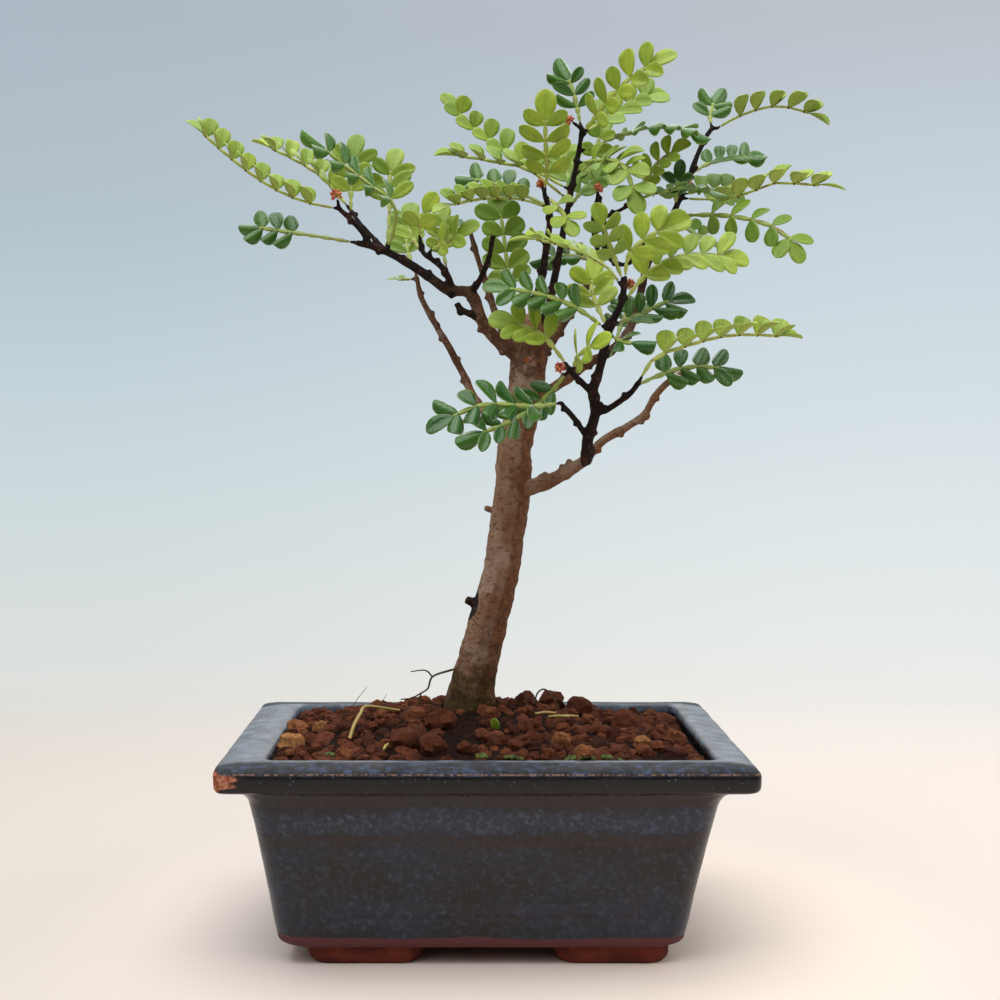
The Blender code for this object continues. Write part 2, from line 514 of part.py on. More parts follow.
def point_along(line, distance):
    """The point, and the direction there, at a distance along a line of even steps."""
    step = (line[1] - line[0]).length
    place = min(max(distance / step, 0.0), len(line) - 1.001)
    index = int(place)
    direction = line[min(index + 2, len(line) - 1)] - line[max(index - 1, 0)]
    return line[index].lerp(line[index + 1], place - index), direction.normalized()


def blade_sides(direction, tilt):
    """The upper side and the left side of a blade that runs in a direction."""
    face = Vector((0.0, -math.sin(math.radians(tilt)), math.cos(math.radians(tilt))))
    upper = (face - direction * face.dot(direction)).normalized()
    return upper, upper.cross(direction)


def extend(bm, edge_ends, places):
    """Extrude the edge between two vertices to new places, and return its new ends in that order."""
    made = bmesh.ops.extrude_edge_only(bm, edges=[bm.edges.get(edge_ends)])["geom"]
    new_ends = [item for item in made if isinstance(item, bmesh.types.BMVert)]
    if (new_ends[0].co - edge_ends[0].co).length > (new_ends[1].co - edge_ends[0].co).length:
        new_ends.reverse()
    for vert, place in zip(new_ends, places):
        vert.co = place
    return new_ends


def add_leaflet(bm, root_ends, along, across, length, width):
    """A six-sided leaflet on an edge of the stalk: out to its widest place, then to its blunt tip."""
    root = (root_ends[0].co + root_ends[1].co) / 2
    for share, half in ((LEAFLET_WIDEST, width / 2), (1.0, width * LEAFLET_TIP)):
        middle = root + along * length * share
        root_ends = extend(bm, root_ends, (middle - across * half, middle + across * half))


def make_frond(name, record, lines, wood, collection, surface, chance):
    """A leaf stalk with its pairs of leaflets and its end leaflet, as one thin blade."""
    places, pairs, tilt, fold, bare, size = record
    line = smooth_points([tree_point(*place) for place in places], PATH_STEP)
    while lines.nearest(line[0])[1] < SEAT_CLEAR:
        line.pop(0)
    add_seat(line[0], (line[1] - line[0]).normalized(), lines, wood)
    total = (line[1] - line[0]).length * (len(line) - 1)
    first = max(bare * total, 2 * LEAFLET_ROOT)
    last = total - size - LEAFLET_ROOT
    spacing = (last - first) / max(pairs - 1, 1)
    sweep = math.radians(LEAFLET_SWEEP)
    twist = math.radians(LEAFLET_TWIST)
    width = LEAFLET_WIDTH * size
    if pairs > 1:
        width = min(width, LEAFLET_CROWDING * spacing)
    folds = [math.radians(fold + chance.uniform(-6, 6)) for side in (0, 1)]
    bare_end = first - LEAFLET_ROOT / 2
    bare_steps = max(1, round(bare_end / STALK_STEP))
    stations = [bare_end * step / bare_steps for step in range(bare_steps + 1)]
    for pair in range(pairs):
        stations += [first + spacing * pair + LEAFLET_ROOT / 2, first + spacing * (pair + 1) - LEAFLET_ROOT / 2]
    stations[-1] = last + LEAFLET_ROOT

    bm = bmesh.new()
    ends = None
    for number, station in enumerate(stations):
        centre, direction = point_along(line, station)
        upper, left = blade_sides(direction, tilt)
        sides = (centre + left * STALK_WIDTH / 2, centre - left * STALK_WIDTH / 2)
        if ends is None:
            ends = [bm.verts.new(side) for side in sides]
            bm.edges.new(ends)
            continue
        behind = ends
        ends = extend(bm, ends, sides)
        if number > bare_steps and (number - bare_steps) % 2 == 1:
            for side in (0, 1):
                lift = folds[side] + math.radians(chance.uniform(-1, 1))
                turned = sweep + math.radians(chance.uniform(-1, 1))
                outside = left * (1 - 2 * side)
                outward = outside * math.cos(lift) + upper * math.sin(lift)
                top = upper * math.cos(lift) - outside * math.sin(lift)
                along = direction * math.cos(turned) + outward * math.sin(turned)
                flat = direction * math.sin(turned) - outward * math.cos(turned)
                across = flat * math.cos(twist) + top * math.sin(twist)
                add_leaflet(bm, [behind[side], ends[side]], along, across,
                            size * chance.uniform(0.92, 1.04), width)
    add_leaflet(bm, ends, direction, -left, size, LEAFLET_WIDTH * size)
    bmesh.ops.triangulate(bm, faces=bm.faces[:])
    bmesh.ops.recalc_face_normals(bm, faces=bm.faces[:])
    frond = add_mesh(name, bm, collection, surface)
    blade = frond.modifiers.new("Blade", "SOLIDIFY")
    blade.thickness = BLADE_THICKNESS * MM
    blade.offset = 0.0
    return frond


def make_fronds(lines, wood, collection):
    surface = material("Green leaflets", (0.09, 0.2, 0.03), 0.45)
    fronds = []
    for group, records in FRONDS.items():
        for number, record in enumerate(records, 1):
            chance = Random(100 * number + len(fronds))
            fronds.append(make_frond(f"frond_{group}_{number}", record, lines, wood, collection, surface, chance))
    return fronds


def make_buds(lines, wood, collection):
    """Round heads whose buds stand out between lower points."""
    surface = material("Orange red buds", (0.35, 0.08, 0.03), 0.6)
    buds = []
    for name, (across, up, depth, radius) in BUDS.items():
        centre = tree_point(across, up, depth)
        outward = (centre - lines.nearest(centre)[0]).normalized()
        add_seat(centre - outward * radius, outward, lines, wood)
        bm = bmesh.new()
        bmesh.ops.create_icosphere(bm, subdivisions=2, radius=radius)
        for vert in bm.verts:
            if len(vert.link_edges) == 6:
                vert.co *= BUD_GRAIN
        turn = Vector((0, 0, -1)).rotation_difference(-outward).to_matrix()
        bmesh.ops.rotate(bm, matrix=turn, verts=bm.verts[:])
        buds.append(add_mesh(name, moved(bm, centre), collection, surface))
    return buds


def main():
    for item in list(bpy.data.objects):
        bpy.data.objects.remove(item)
    scene = bpy.context.scene.collection
    collection = add_collection("Chinese pepper bonsai", scene)
    cutters = add_collection("Cutters", scene)
    wood = add_collection("Stems", scene)

    pieces = [make_pot(collection, cutters), make_soil(collection, cutters)]
    pieces += make_drain_nets(collection)
    trunk, lines = make_stems(wood)
    pieces += make_fronds(lines, wood, collection)
    pieces += make_buds(lines, wood, collection)

    collection.objects.link(trunk)
    wood.objects.unlink(trunk)
    add_boolean(trunk, "UNION", wood)
    apply_modifiers(trunk)
    remove_collection(wood)
    join_flat_faces(trunk)
    trunk.data.materials.clear()
    trunk.data.materials.append(material("Grey brown bark", (0.16, 0.1, 0.06), 0.85))
    pieces.append(trunk)

    root = bpy.data.objects.new("bonsai", None)
    collection.objects.link(root)
    for piece in pieces:
        piece.parent = root


main()
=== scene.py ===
import math
import random

import bpy
from mathutils import Matrix, Vector, noise
from mathutils.bvhtree import BVHTree
from mathutils.kdtree import KDTree


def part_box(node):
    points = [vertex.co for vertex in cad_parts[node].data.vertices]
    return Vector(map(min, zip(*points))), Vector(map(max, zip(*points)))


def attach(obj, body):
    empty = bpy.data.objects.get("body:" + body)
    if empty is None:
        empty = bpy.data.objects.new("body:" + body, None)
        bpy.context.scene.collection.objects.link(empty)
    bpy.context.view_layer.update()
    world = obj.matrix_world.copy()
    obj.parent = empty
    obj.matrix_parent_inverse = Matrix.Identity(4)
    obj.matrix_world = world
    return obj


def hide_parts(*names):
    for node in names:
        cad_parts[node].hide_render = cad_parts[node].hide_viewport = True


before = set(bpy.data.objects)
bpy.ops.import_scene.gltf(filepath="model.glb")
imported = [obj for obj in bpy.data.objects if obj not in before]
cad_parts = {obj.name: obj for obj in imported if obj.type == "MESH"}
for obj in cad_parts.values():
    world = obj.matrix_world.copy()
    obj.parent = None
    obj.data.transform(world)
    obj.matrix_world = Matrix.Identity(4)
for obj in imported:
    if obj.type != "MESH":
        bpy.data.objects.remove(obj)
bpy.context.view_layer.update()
mm = 0.001


def colour(red, green, blue):      # sRGB from 0 to 255, as a linear colour
    parts = [value / 255 for value in (red, green, blue)]
    return (*[part / 12.92 if part <= 0.04045 else ((part + 0.055) / 1.055) ** 2.4 for part in parts], 1.0)


def selectOnly(*pieces):
    bpy.ops.object.select_all(action="DESELECT")
    for piece in pieces:
        piece.select_set(True)
    bpy.context.view_layer.objects.active = pieces[0]


def applyModifier(piece, kind, **settings):
    selectOnly(piece)
    modifier = piece.modifiers.new(kind.title(), kind)
    for name, value in settings.items():
        setattr(modifier, name, value)
    bpy.ops.object.modifier_apply(modifier=modifier.name)


def applyPlace(piece):
    selectOnly(piece)
    bpy.ops.object.transform_apply(location=True, rotation=True, scale=True)


def joinAll(name, pieces):
    selectOnly(*pieces)
    if len(pieces) > 1:
        bpy.ops.object.join()
    joined = bpy.context.object
    joined.name = joined.data.name = name
    applyPlace(joined)
    return joined


def copyOf(source, place):      # a copy with its own mesh, put where the matrix says
    made = source.copy()
    made.data = source.data.copy()
    bpy.context.scene.collection.objects.link(made)
    made.matrix_world = place
    return made


def paintWhole(piece, name, value):      # the same value on every vertex, kept when pieces are joined
    layer = piece.data.attributes.get(name) or piece.data.attributes.new(name, "FLOAT", "POINT")
    layer.data.foreach_set("value", [value] * len(piece.data.vertices))


def setMaterial(piece, material):
    piece.data.materials.clear()
    piece.data.materials.append(material)


def smoothShade(piece, degrees):
    selectOnly(piece)
    bpy.ops.object.shade_smooth_by_angle(angle=math.radians(degrees))


def dress(piece, slotName, *nodes):
    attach(piece, "root")
    if nodes:
        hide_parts(*nodes)


def selectVerts(piece, wanted):      # in edit mode, select the vertices that the test wants
    bpy.ops.object.mode_set(mode="OBJECT")
    for face in piece.data.polygons:
        face.select = False
    for edge in piece.data.edges:
        edge.select = False
    for vert in piece.data.vertices:
        vert.select = wanted(vert.co)
    bpy.ops.object.mode_set(mode="EDIT")
    bpy.ops.mesh.select_mode(type="VERT")


def addNode(tree, kind, inputs=None, **settings):
    node = tree.nodes.new(kind)
    for name, value in settings.items():
        setattr(node, name, value)
    for name, value in (inputs or {}).items():
        if isinstance(value, bpy.types.NodeSocket):
            tree.links.new(value, node.inputs[name])
        else:
            node.inputs[name].default_value = value
    return node


def mixColour(tree, factor, first, second):
    return addNode(tree, "ShaderNodeMix", {0: factor, 6: first, 7: second}, data_type="RGBA").outputs[2]


def maths(tree, operation, first, second=0.0):
    return addNode(tree, "ShaderNodeMath", {0: first, 1: second}, operation=operation).outputs[0]


def plus(tree, first, second):
    return maths(tree, "ADD", first, second)


def minus(tree, first, second):
    return maths(tree, "SUBTRACT", first, second)


def times(tree, first, second):
    return maths(tree, "MULTIPLY", first, second)


def ramp(tree, value, low, high, toLow=0.0, toHigh=1.0):
    return addNode(tree, "ShaderNodeMapRange", {0: value, 1: low, 2: high, 3: toLow, 4: toHigh},
                   interpolation_type="SMOOTHSTEP").outputs[0]


def attribute(tree, name):
    return addNode(tree, "ShaderNodeAttribute", attribute_name=name).outputs["Fac"]


def objectPlace(tree):
    return addNode(tree, "ShaderNodeTexCoord").outputs["Object"]


def makeGroup(name, inputs, outputs):
    tree = bpy.data.node_groups.new(name, "ShaderNodeTree")
    for label, kind, value in inputs:
        socket = tree.interface.new_socket(label, in_out="INPUT", socket_type=kind)
        if value is not None:
            socket.default_value = value
    for label, kind in outputs:
        tree.interface.new_socket(label, in_out="OUTPUT", socket_type=kind)
    return tree, tree.nodes.new("NodeGroupInput").outputs, tree.nodes.new("NodeGroupOutput").inputs


def placeGroup(tree, group, inputs):
    return addNode(tree, "ShaderNodeGroup", inputs, node_tree=group)


def patches(tree, place, size, detail, low, high, under, over):      # the mottle group's colour
    return placeGroup(tree, mottle, {"Place": place, "Size": size, "Detail": detail, "From": low, "To": high,
                                     "Under": under, "Over": over}).outputs["Colour"]


def patchMask(tree, place, size, detail, low, high):
    return placeGroup(tree, mottle, {"Place": place, "Size": size, "Detail": detail, "From": low,
                                     "To": high}).outputs["Mask"]


def speckMask(tree, place, spacing, radius, share):
    return placeGroup(tree, specks, {"Place": place, "Spacing": spacing, "Radius": radius,
                                     "Share": share}).outputs["Mask"]


def grainHeight(tree, place, size, grit):
    return placeGroup(tree, grain, {"Place": place, "Size": size, "Grit": grit}).outputs["Height"]


number, vector, tint = "NodeSocketFloat", "NodeSocketVector", "NodeSocketColor"


def makeMottle():      # soft patches of one colour over another
    tree, given, out = makeGroup("Mottle", [("Place", vector, None), ("Size", number, 0.01),
                                            ("Detail", number, 4.0), ("From", number, 0.4), ("To", number, 0.6),
                                            ("Under", tint, None), ("Over", tint, None)],
                                 [("Mask", number), ("Colour", tint)])
    scale = maths(tree, "DIVIDE", 1.0, given["Size"])
    cloud = addNode(tree, "ShaderNodeTexNoise",
                    {"Vector": given["Place"], "Scale": scale, "Detail": given["Detail"],
                     "Roughness": 0.6}).outputs[0]
    mask = ramp(tree, cloud, given["From"], given["To"])
    tree.links.new(mask, out["Mask"])
    tree.links.new(mixColour(tree, mask, given["Under"], given["Over"]), out["Colour"])
    return tree


def makeSpecks():      # small round specks, strewn at random
    tree, given, out = makeGroup("Specks", [("Place", vector, None), ("Spacing", number, 0.002),
                                            ("Radius", number, 0.3), ("Share", number, 0.3)], [("Mask", number)])
    scale = maths(tree, "DIVIDE", 1.0, given["Spacing"])
    cells = addNode(tree, "ShaderNodeTexVoronoi", {"Vector": given["Place"], "Scale": scale})
    chance = addNode(tree, "ShaderNodeSeparateColor", {0: cells.outputs["Color"]})
    size = times(tree, given["Radius"], plus(tree, chance.outputs[1], 0.4))
    inside = addNode(tree, "ShaderNodeMapRange",
                     {0: cells.outputs["Distance"], 1: size, 2: times(tree, size, 0.6), 3: 0.0, 4: 1.0}).outputs[0]
    chosen = maths(tree, "LESS_THAN", chance.outputs[0], given["Share"])
    tree.links.new(times(tree, inside, chosen), out["Mask"])
    return tree


def makeGrain():      # height of a rough surface: coarse lumps with fine grit on them
    tree, given, out = makeGroup("Grain", [("Place", vector, None), ("Size", number, 0.002), ("Grit", number, 0.5)],
                                 [("Height", number)])
    scale = maths(tree, "DIVIDE", 1.0, given["Size"])
    lumps = addNode(tree, "ShaderNodeTexNoise",
                    {"Vector": given["Place"], "Scale": scale, "Detail": 4.0, "Roughness": 0.6}).outputs[0]
    fine = addNode(tree, "ShaderNodeTexVoronoi", {"Vector": given["Place"], "Scale": times(tree, scale, 5.0)})
    gritty = times(tree, fine.outputs["Distance"], given["Grit"])
    tree.links.new(plus(tree, lumps, gritty), out["Height"])
    return tree


def makeVeins():      # midrib and side veins of a leaflet, from its UV map
    tree, given, out = makeGroup("Veins", [("Blade", vector, None), ("Pairs", number, 7.0)],
                                 [("Rib", number), ("Vein", number), ("Edge", number), ("Height", number)])
    split = addNode(tree, "ShaderNodeSeparateXYZ", {0: given["Blade"]})
    fromRib = maths(tree, "ABSOLUTE", minus(tree, split.outputs[0], 0.5))
    along = split.outputs[1]
    rib = ramp(tree, fromRib, 0.035, 0.012)
    slanted = minus(tree, along, times(tree, fromRib, 0.55))
    wave = maths(tree, "SINE", times(tree, slanted, times(tree, given["Pairs"], 6.2832)))
    vein = times(tree, ramp(tree, wave, 0.86, 1.0), ramp(tree, fromRib, 0.48, 0.34))
    edge = ramp(tree, fromRib, 0.42, 0.5)
    height = plus(tree, times(tree, wave, 0.3), times(tree, rib, -1.0))
    for label, value in (("Rib", rib), ("Vein", vein), ("Edge", edge), ("Height", height)):
        tree.links.new(value, out[label])
    return tree


mottle, specks, grain, veins = makeMottle(), makeSpecks(), makeGrain(), makeVeins()


def newMaterial(name, **constants):      # a material with its shader, and constants set on the shader's own sockets
    material = bpy.data.materials.new(name)
    material.use_nodes = True
    tree = material.node_tree
    shader = tree.nodes["Principled BSDF"]
    for label, value in constants.items():
        shader.inputs[label.replace("_", " ")].default_value = value
    return material, tree, shader


def addBump(tree, shader, height, strength, distance):
    bump = addNode(tree, "ShaderNodeBump", {"Strength": strength, "Distance": distance, "Height": height})
    tree.links.new(bump.outputs[0], shader.inputs["Normal"])


view = {"place": (-0.0163, -0.457, 0.143), "lens": 53.07, "shift": (0.036, -0.04)}
# painted light: the floor is painted darker at the left and lighter and warmer at the right, as the lamps fall on it;
# near the pot it is painted lighter, partly the pale turntable and partly painted light that lifts the shade beside
# the pot
floorLook = {"radius": 2.5, "left": colour(197, 188, 179), "right": colour(217, 206, 197),
             "fadeFrom": 0.16, "fadeTo": 0.5,
             "nearTurntableLitLeft": colour(221, 209, 200), "nearTurntableLitRight": colour(232, 216, 203)}
# the backdrop: how far up the line of sight points, then its colour at the left and at the right
skyStops = [
    (-0.26, colour(236, 229, 221), colour(246, 240, 234)),
    (-0.2, colour(229, 225, 218), colour(243, 238, 233)),
    (-0.11, colour(217, 223, 221), colour(232, 236, 234)),
    (-0.04, colour(208, 219, 221), colour(223, 231, 233)),
    (0.04, colour(197, 211, 218), colour(213, 224, 229)),
    (0.16, colour(180, 194, 203), colour(199, 212, 221)),
    (0.28, colour(174, 185, 197), colour(188, 195, 203)),
]
roomLight = {"front": colour(84, 76, 70), "back": colour(224, 224, 222), "above": colour(236, 240, 244),
             "strength": 0.8}
lamps = [  # name, place, turn in degrees, size, power
    ("overhead", (-0.1, -0.16, 0.95), (10, -6, 0), 1.0, 8.5),
    ("frontLeft", (-0.75, -0.75, 0.75), (56, 0, -45), 0.7, 2.2),
    ("right", (0.85, -0.1, 0.55), (66, 0, 83), 0.7, 2.4),
    ("behind", (0.1, 0.8, 0.7), (-52, 0, 0), 0.8, 2.8),
]


def makeCamera():
    bpy.ops.object.camera_add(location=view["place"], rotation=(math.radians(90), 0, 0))
    camera = bpy.context.object
    camera.data.sensor_width = 36
    camera.data.lens = view["lens"]
    camera.data.shift_x, camera.data.shift_y = view["shift"]
    camera.data.clip_start = 0.01
    bpy.context.scene.camera = camera


def makeFloor():
    bpy.ops.mesh.primitive_circle_add(vertices=96, radius=floorLook["radius"], fill_type="NGON")
    floor = bpy.context.object
    floor.name = "floor"
    material, tree, shader = newMaterial("paleFloor", Roughness=0.7, Specular_IOR_Level=0.2)
    place = objectPlace(tree)
    split = addNode(tree, "ShaderNodeSeparateXYZ", {0: place})
    # painted light across the floor: darker at the left, lighter at the right
    acrossFloor = ramp(tree, split.outputs[0], -0.35, 0.35)
    side = mixColour(tree, acrossFloor, floorLook["left"], floorLook["right"])
    near = mixColour(tree, ramp(tree, split.outputs[0], -0.1, 0.1), floorLook["nearTurntableLitLeft"], floorLook["nearTurntableLitRight"])
    away = addNode(tree, "ShaderNodeVectorMath", {0: place}, operation="LENGTH").outputs["Value"]
    # near the pot: the pale turntable, with painted light over the pot's shade
    tree.links.new(mixColour(tree, ramp(tree, away, 0.16, 0.085), side, near), shader.inputs["Base Color"])
    tree.links.new(ramp(tree, split.outputs[1], floorLook["fadeTo"], floorLook["fadeFrom"]), shader.inputs["Alpha"])
    setMaterial(floor, material)


def skyRamp(tree, up, column):      # the backdrop's colours at one side, from low to high
    low, high = skyStops[0][0], skyStops[-1][0]
    share = addNode(tree, "ShaderNodeMapRange", {0: up, 1: low, 2: high}).outputs[0]
    stops = addNode(tree, "ShaderNodeValToRGB", {0: share})
    elements = stops.color_ramp.elements
    for number, record in enumerate(skyStops):
        position = (record[0] - low) / (high - low)
        stop = elements[0] if number == 0 else elements.new(position) if number < len(skyStops) - 1 else elements[-1]
        stop.position = position
        stop.color = record[column]
    return stops.outputs[0]


# what the camera sees behind the tree, and the light of the room: dim in front, bright behind and above
def makeSky():
    world = bpy.context.scene.world or bpy.data.worlds.new("studio")
    bpy.context.scene.world = world
    world.use_nodes = True
    tree = world.node_tree
    split = addNode(tree, "ShaderNodeSeparateXYZ", {0: addNode(tree, "ShaderNodeTexCoord").outputs["Generated"]})
    across, away, up = split.outputs
    seen = mixColour(tree, ramp(tree, across, -0.32, 0.34), skyRamp(tree, up, 1), skyRamp(tree, up, 2))
    room = mixColour(tree, ramp(tree, away, -0.35, 0.5), roomLight["front"], roomLight["back"])
    room = mixColour(tree, ramp(tree, up, 0.25, 0.8), room, roomLight["above"])
    backdrop = tree.nodes["Background"]
    tree.links.new(seen, backdrop.inputs["Color"])
    glow = addNode(tree, "ShaderNodeBackground", {"Color": room, "Strength": roomLight["strength"]})
    chosen = addNode(tree, "ShaderNodeMixShader",
                     {0: addNode(tree, "ShaderNodeLightPath").outputs["Is Camera Ray"]})
    tree.links.new(glow.outputs[0], chosen.inputs[1])
    tree.links.new(backdrop.outputs[0], chosen.inputs[2])
    tree.links.new(chosen.outputs[0], tree.nodes["World Output"].inputs["Surface"])


def makeLamps():
    for name, place, turn, size, power in lamps:
        bpy.ops.object.light_add(type="AREA", location=place, rotation=[math.radians(angle) for angle in turn])
        lamp = bpy.context.object
        lamp.name = name
        lamp.data.size = size
        lamp.data.energy = power
        lamp.visible_camera = False


print("camera, floor and light")
makeCamera()
makeFloor()
makeSky()
makeLamps()
bpy.context.scene.view_settings.view_transform = "Standard"


potMiddle = -9.3          # mm from the origin to the pot's middle
eye = Vector((-7.0, -457.0, 143.0))


# a place read on the pot's middle plane, moved back by depth in line with the eye, in mm
def treePlace(across, up, depth):
    return eye + (Vector((across, 0.0, up)) - eye) * ((depth - eye.y) / -eye.y) + Vector((potMiddle, 0.0, 0.0))


def smoothLine(points, spacing):      # even points along a smooth curve through the given ones
    ends = [points[0] * 2 - points[1]] + points + [points[-1] * 2 - points[-2]]
    fine = []
    for before, start, end, after in zip(ends, ends[1:], ends[2:], ends[3:]):
        for step in range(12):
            t = step / 12
            fine.append(0.5 * (2 * start + (end - before) * t + (2 * before - 5 * start + 4 * end - after) * t ** 2
                               + (3 * start - before - 3 * end + after) * t ** 3))
    fine.append(points[-1])
    lengths = [0.0]
    for start, end in zip(fine, fine[1:]):
        lengths.append(lengths[-1] + (end - start).length)
    count = max(2, round(lengths[-1] / spacing))
    made, piece = [], 0
    for index in range(count + 1):
        wanted = lengths[-1] * index / count
        while piece < len(fine) - 2 and lengths[piece + 1] < wanted:
            piece += 1
        share = (wanted - lengths[piece]) / (lengths[piece + 1] - lengths[piece])
        made.append(fine[piece].lerp(fine[piece + 1], share))
    return made


trunkLine = [(-5.0, 44.6, 8.0, 9.0), (-5.0, 63.0, 8.0, 9.0), (-5.0, 68.3, 8.0, 8.2), (-4.4, 73.6, 7.0, 7.1),
             (-2.7, 80.4, 5.5, 6.6), (0.6, 93.7, 3.0, 6.2), (4.3, 107.3, 1.0, 5.7), (6.2, 120.7, 0.0, 5.8),
             (8.2, 134.3, 0.0, 5.7), (8.8, 147.6, 0.5, 5.4), (10.8, 157.0, 1.0, 5.6), (12.7, 168.0, 2.0, 5.7),
             (13.1, 178.0, 2.5, 5.8), (13.4, 184.5, 3.0, 4.6), (13.6, 188.0, 3.0, 2.4)]
# each stem: points, first and last radius, how dark its bark is at the foot and at the tip
stemLines = {
    "leftMain": ([(10.5, 174.5, 1), (3.1, 180.2, -2), (-0.8, 185.0, -3), (-2.9, 190.1, -4), (-5.3, 194.8, -5),
                  (-12.0, 196.0, -6), (-19.3, 200.7, -7), (-27.0, 205.6, -7), (-33.2, 208.4, -6),
                  (-40.0, 210.3, -5)], 2.3, 1.0, 0.1, 1.0),
    "leftStub": ([(-2.2, 187.0, -3), (-7.8, 189.8, -7), (-9.3, 191.7, -8)], 1.3, 1.0, 0.6, 0.9),
    "leftUp": ([(-5.0, 194.6, -5), (-2.0, 199.0, -7), (0.9, 206.5, -8), (2.1, 212.7, -9)], 1.1, 0.8, 0.9, 1.0),
    "leftSecond": ([(-10.6, 195.5, -6), (-12.4, 200.4, -8), (-15.0, 203.8, -9), (-19.6, 207.0, -8),
                    (-20.5, 210.3, -7)], 1.1, 0.8, 0.9, 1.0),
    "leftTip": ([(-35.7, 209.0, -6), (-38.8, 213.7, -6), (-41.9, 217.4, -5), (-45.6, 220.8, -4)],
                1.0, 0.8, 0.9, 0.8),
    "leftBack": ([(-30.0, 207.0, -6), (-35.0, 211.5, 4), (-39.5, 217.0, 12), (-42.5, 221.0, 18)],
                 0.9, 0.7, 0.9, 0.9),
    "leftThin": ([(9.0, 176.0, 4), (4.2, 184.5, 9), (0.0, 197.0, 11), (-2.2, 204.0, 12),
                  (-5.6, 215.5, 13)], 1.4, 0.8, 0.3, 0.5),
    "lowLeft": ([(8.6, 148.5, 3), (2.0, 155.0, 10), (-3.5, 162.0, 16), (-8.0, 171.0, 20), (-15.0, 183.6, 24),
                 (-19.9, 192.6, 25), (-21.7, 199.7, 26)], 1.6, 0.9, 0.1, 0.45),
    "lowRight": ([(9.0, 133.0, -1), (17.9, 135.9, -4), (24.2, 139.0, -8), (31.3, 143.3, -12)], 2.8, 1.7, 0.0, 0.2),
    "lowRightBrown": ([(30.5, 142.9, -12), (36.5, 149.2, -12), (44.3, 153.9, -10), (49.0, 157.0, -8),
                       (53.6, 164.7, -5), (62.9, 171.5, -3)], 1.4, 1.0, 0.1, 0.2),
    "front": ([(31.0, 142.6, -12), (31.3, 149.2, -17), (33.8, 158.5, -22), (33.1, 163.2, -24), (34.4, 169.4, -26),
               (36.6, 178.6, -29), (38.7, 184.9, -30), (41.8, 191.1, -32), (42.8, 197.0, -33)], 1.9, 1.0, 0.6, 1.0),
    "frontLow": ([(31.4, 150.0, -17), (27.3, 155.4, -24), (24.8, 158.5, -29), (23.2, 160.7, -32)],
                 1.0, 0.8, 0.9, 1.0),
    "frontLeft": ([(33.3, 163.5, -24), (28.8, 167.5, -26), (25.7, 171.2, -28)], 1.1, 0.9, 1.0, 1.0),
    "frontRight": ([(33.8, 157.5, -22), (38.1, 159.1, -24), (44.3, 163.8, -28), (47.1, 167.0, -30)],
                   1.1, 0.9, 1.0, 1.0),
    "right": ([(13.0, 172.0, 3), (18.9, 177.7, 7), (23.2, 184.9, 12), (30.4, 195.7, 17), (34.4, 203.8, 20),
               (36.9, 209.7, 22), (35.9, 219.0, 24), (34.4, 225.2, 25)], 1.9, 0.8, 0.1, 0.9),
    "rightTwin": ([(34.9, 204.8, 20), (33.1, 215.9, 14), (34.1, 223.0, 12)], 1.0, 0.8, 0.9, 1.0),
    "rightCross": ([(36.2, 207.5, 21), (40.6, 203.6, 15), (44.9, 204.4, 9), (48.9, 210.3, 4)], 0.9, 0.7, 0.9, 1.0),
    "rightLink": ([(36.1, 218.0, 24), (42.0, 221.0, 16), (46.0, 223.5, 10)], 0.8, 0.7, 0.9, 1.0),
    "farRight": ([(11.5, 160.5, 3), (21.4, 165.9, 7), (30.4, 172.1, 11), (38.7, 177.1, 14), (44.9, 184.9, 16),
                  (48.9, 200.4, 17), (51.1, 206.6, 18), (55.2, 211.2, 19), (57.6, 219.0, 20), (60.4, 225.2, 20),
                  (66.9, 240.7, 21), (70.0, 246.0, 22)], 1.8, 0.8, 0.1, 0.95),
    "crownLow": ([(13.4, 182.0, 3), (14.9, 191.1, 2), (16.7, 198.8, 1), (18.9, 211.2, 0), (19.8, 219.0, -1),
                  (18.0, 225.2, -2)], 1.6, 0.9, 0.7, 1.0),
    "crown": ([(14.0, 181.0, 4), (18.9, 189.5, 6), (22.0, 204.4, 8), (24.8, 219.6, 8), (27.6, 233.5, 8),
               (29.7, 245.6, 6)], 1.4, 0.8, 0.8, 1.0),
    "lowPeg": ([(1.0, 96.2, 6), (-2.6, 98.0, 4), (-6.4, 99.8, 3)], 1.7, 1.35, 0.0, 1.0),
    "highPeg": ([(5.0, 126.0, 3), (2.5, 127.2, 2), (-0.6, 128.2, 1)], 1.3, 1.0, 0.0, 0.2),
}
# swellings where shoots were cut or leaves have dropped: across, up, depth, radius
knobPlaces = [(-5.3, 195.0, -5.0, 2.4), (-8.0, 189.0, -7.0, 1.7), (-13.0, 201.0, -8.3, 1.5),
              (-15.4, 184.8, 24.0, 1.5), (18.2, 138.4, -4.0, 1.3), (25.6, 142.4, -8.6, 1.2),
              (49.3, 156.6, -8.0, 1.8), (33.4, 162.4, -23.8, 2.2), (35.2, 205.5, 20.5, 1.7),
              (48.0, 196.0, 16.6, 1.6)]
woodShape = {
    "cadStep": 9.0, "step": 1.5,               # mm between points, for the places and for the shape
    "voxel": 0.00045, "smoothing": 4,
    "nodeSpacing": 8.5, "nodeSwell": 0.2, "nodeLength": 0.9,
    "kink": 0.4,                                # mm that a twig wanders
    "trunkLumps": 0.42, "trunkRidges": 0.13, "twigLumps": 0.12,
    "spurRadius": 0.62,
}


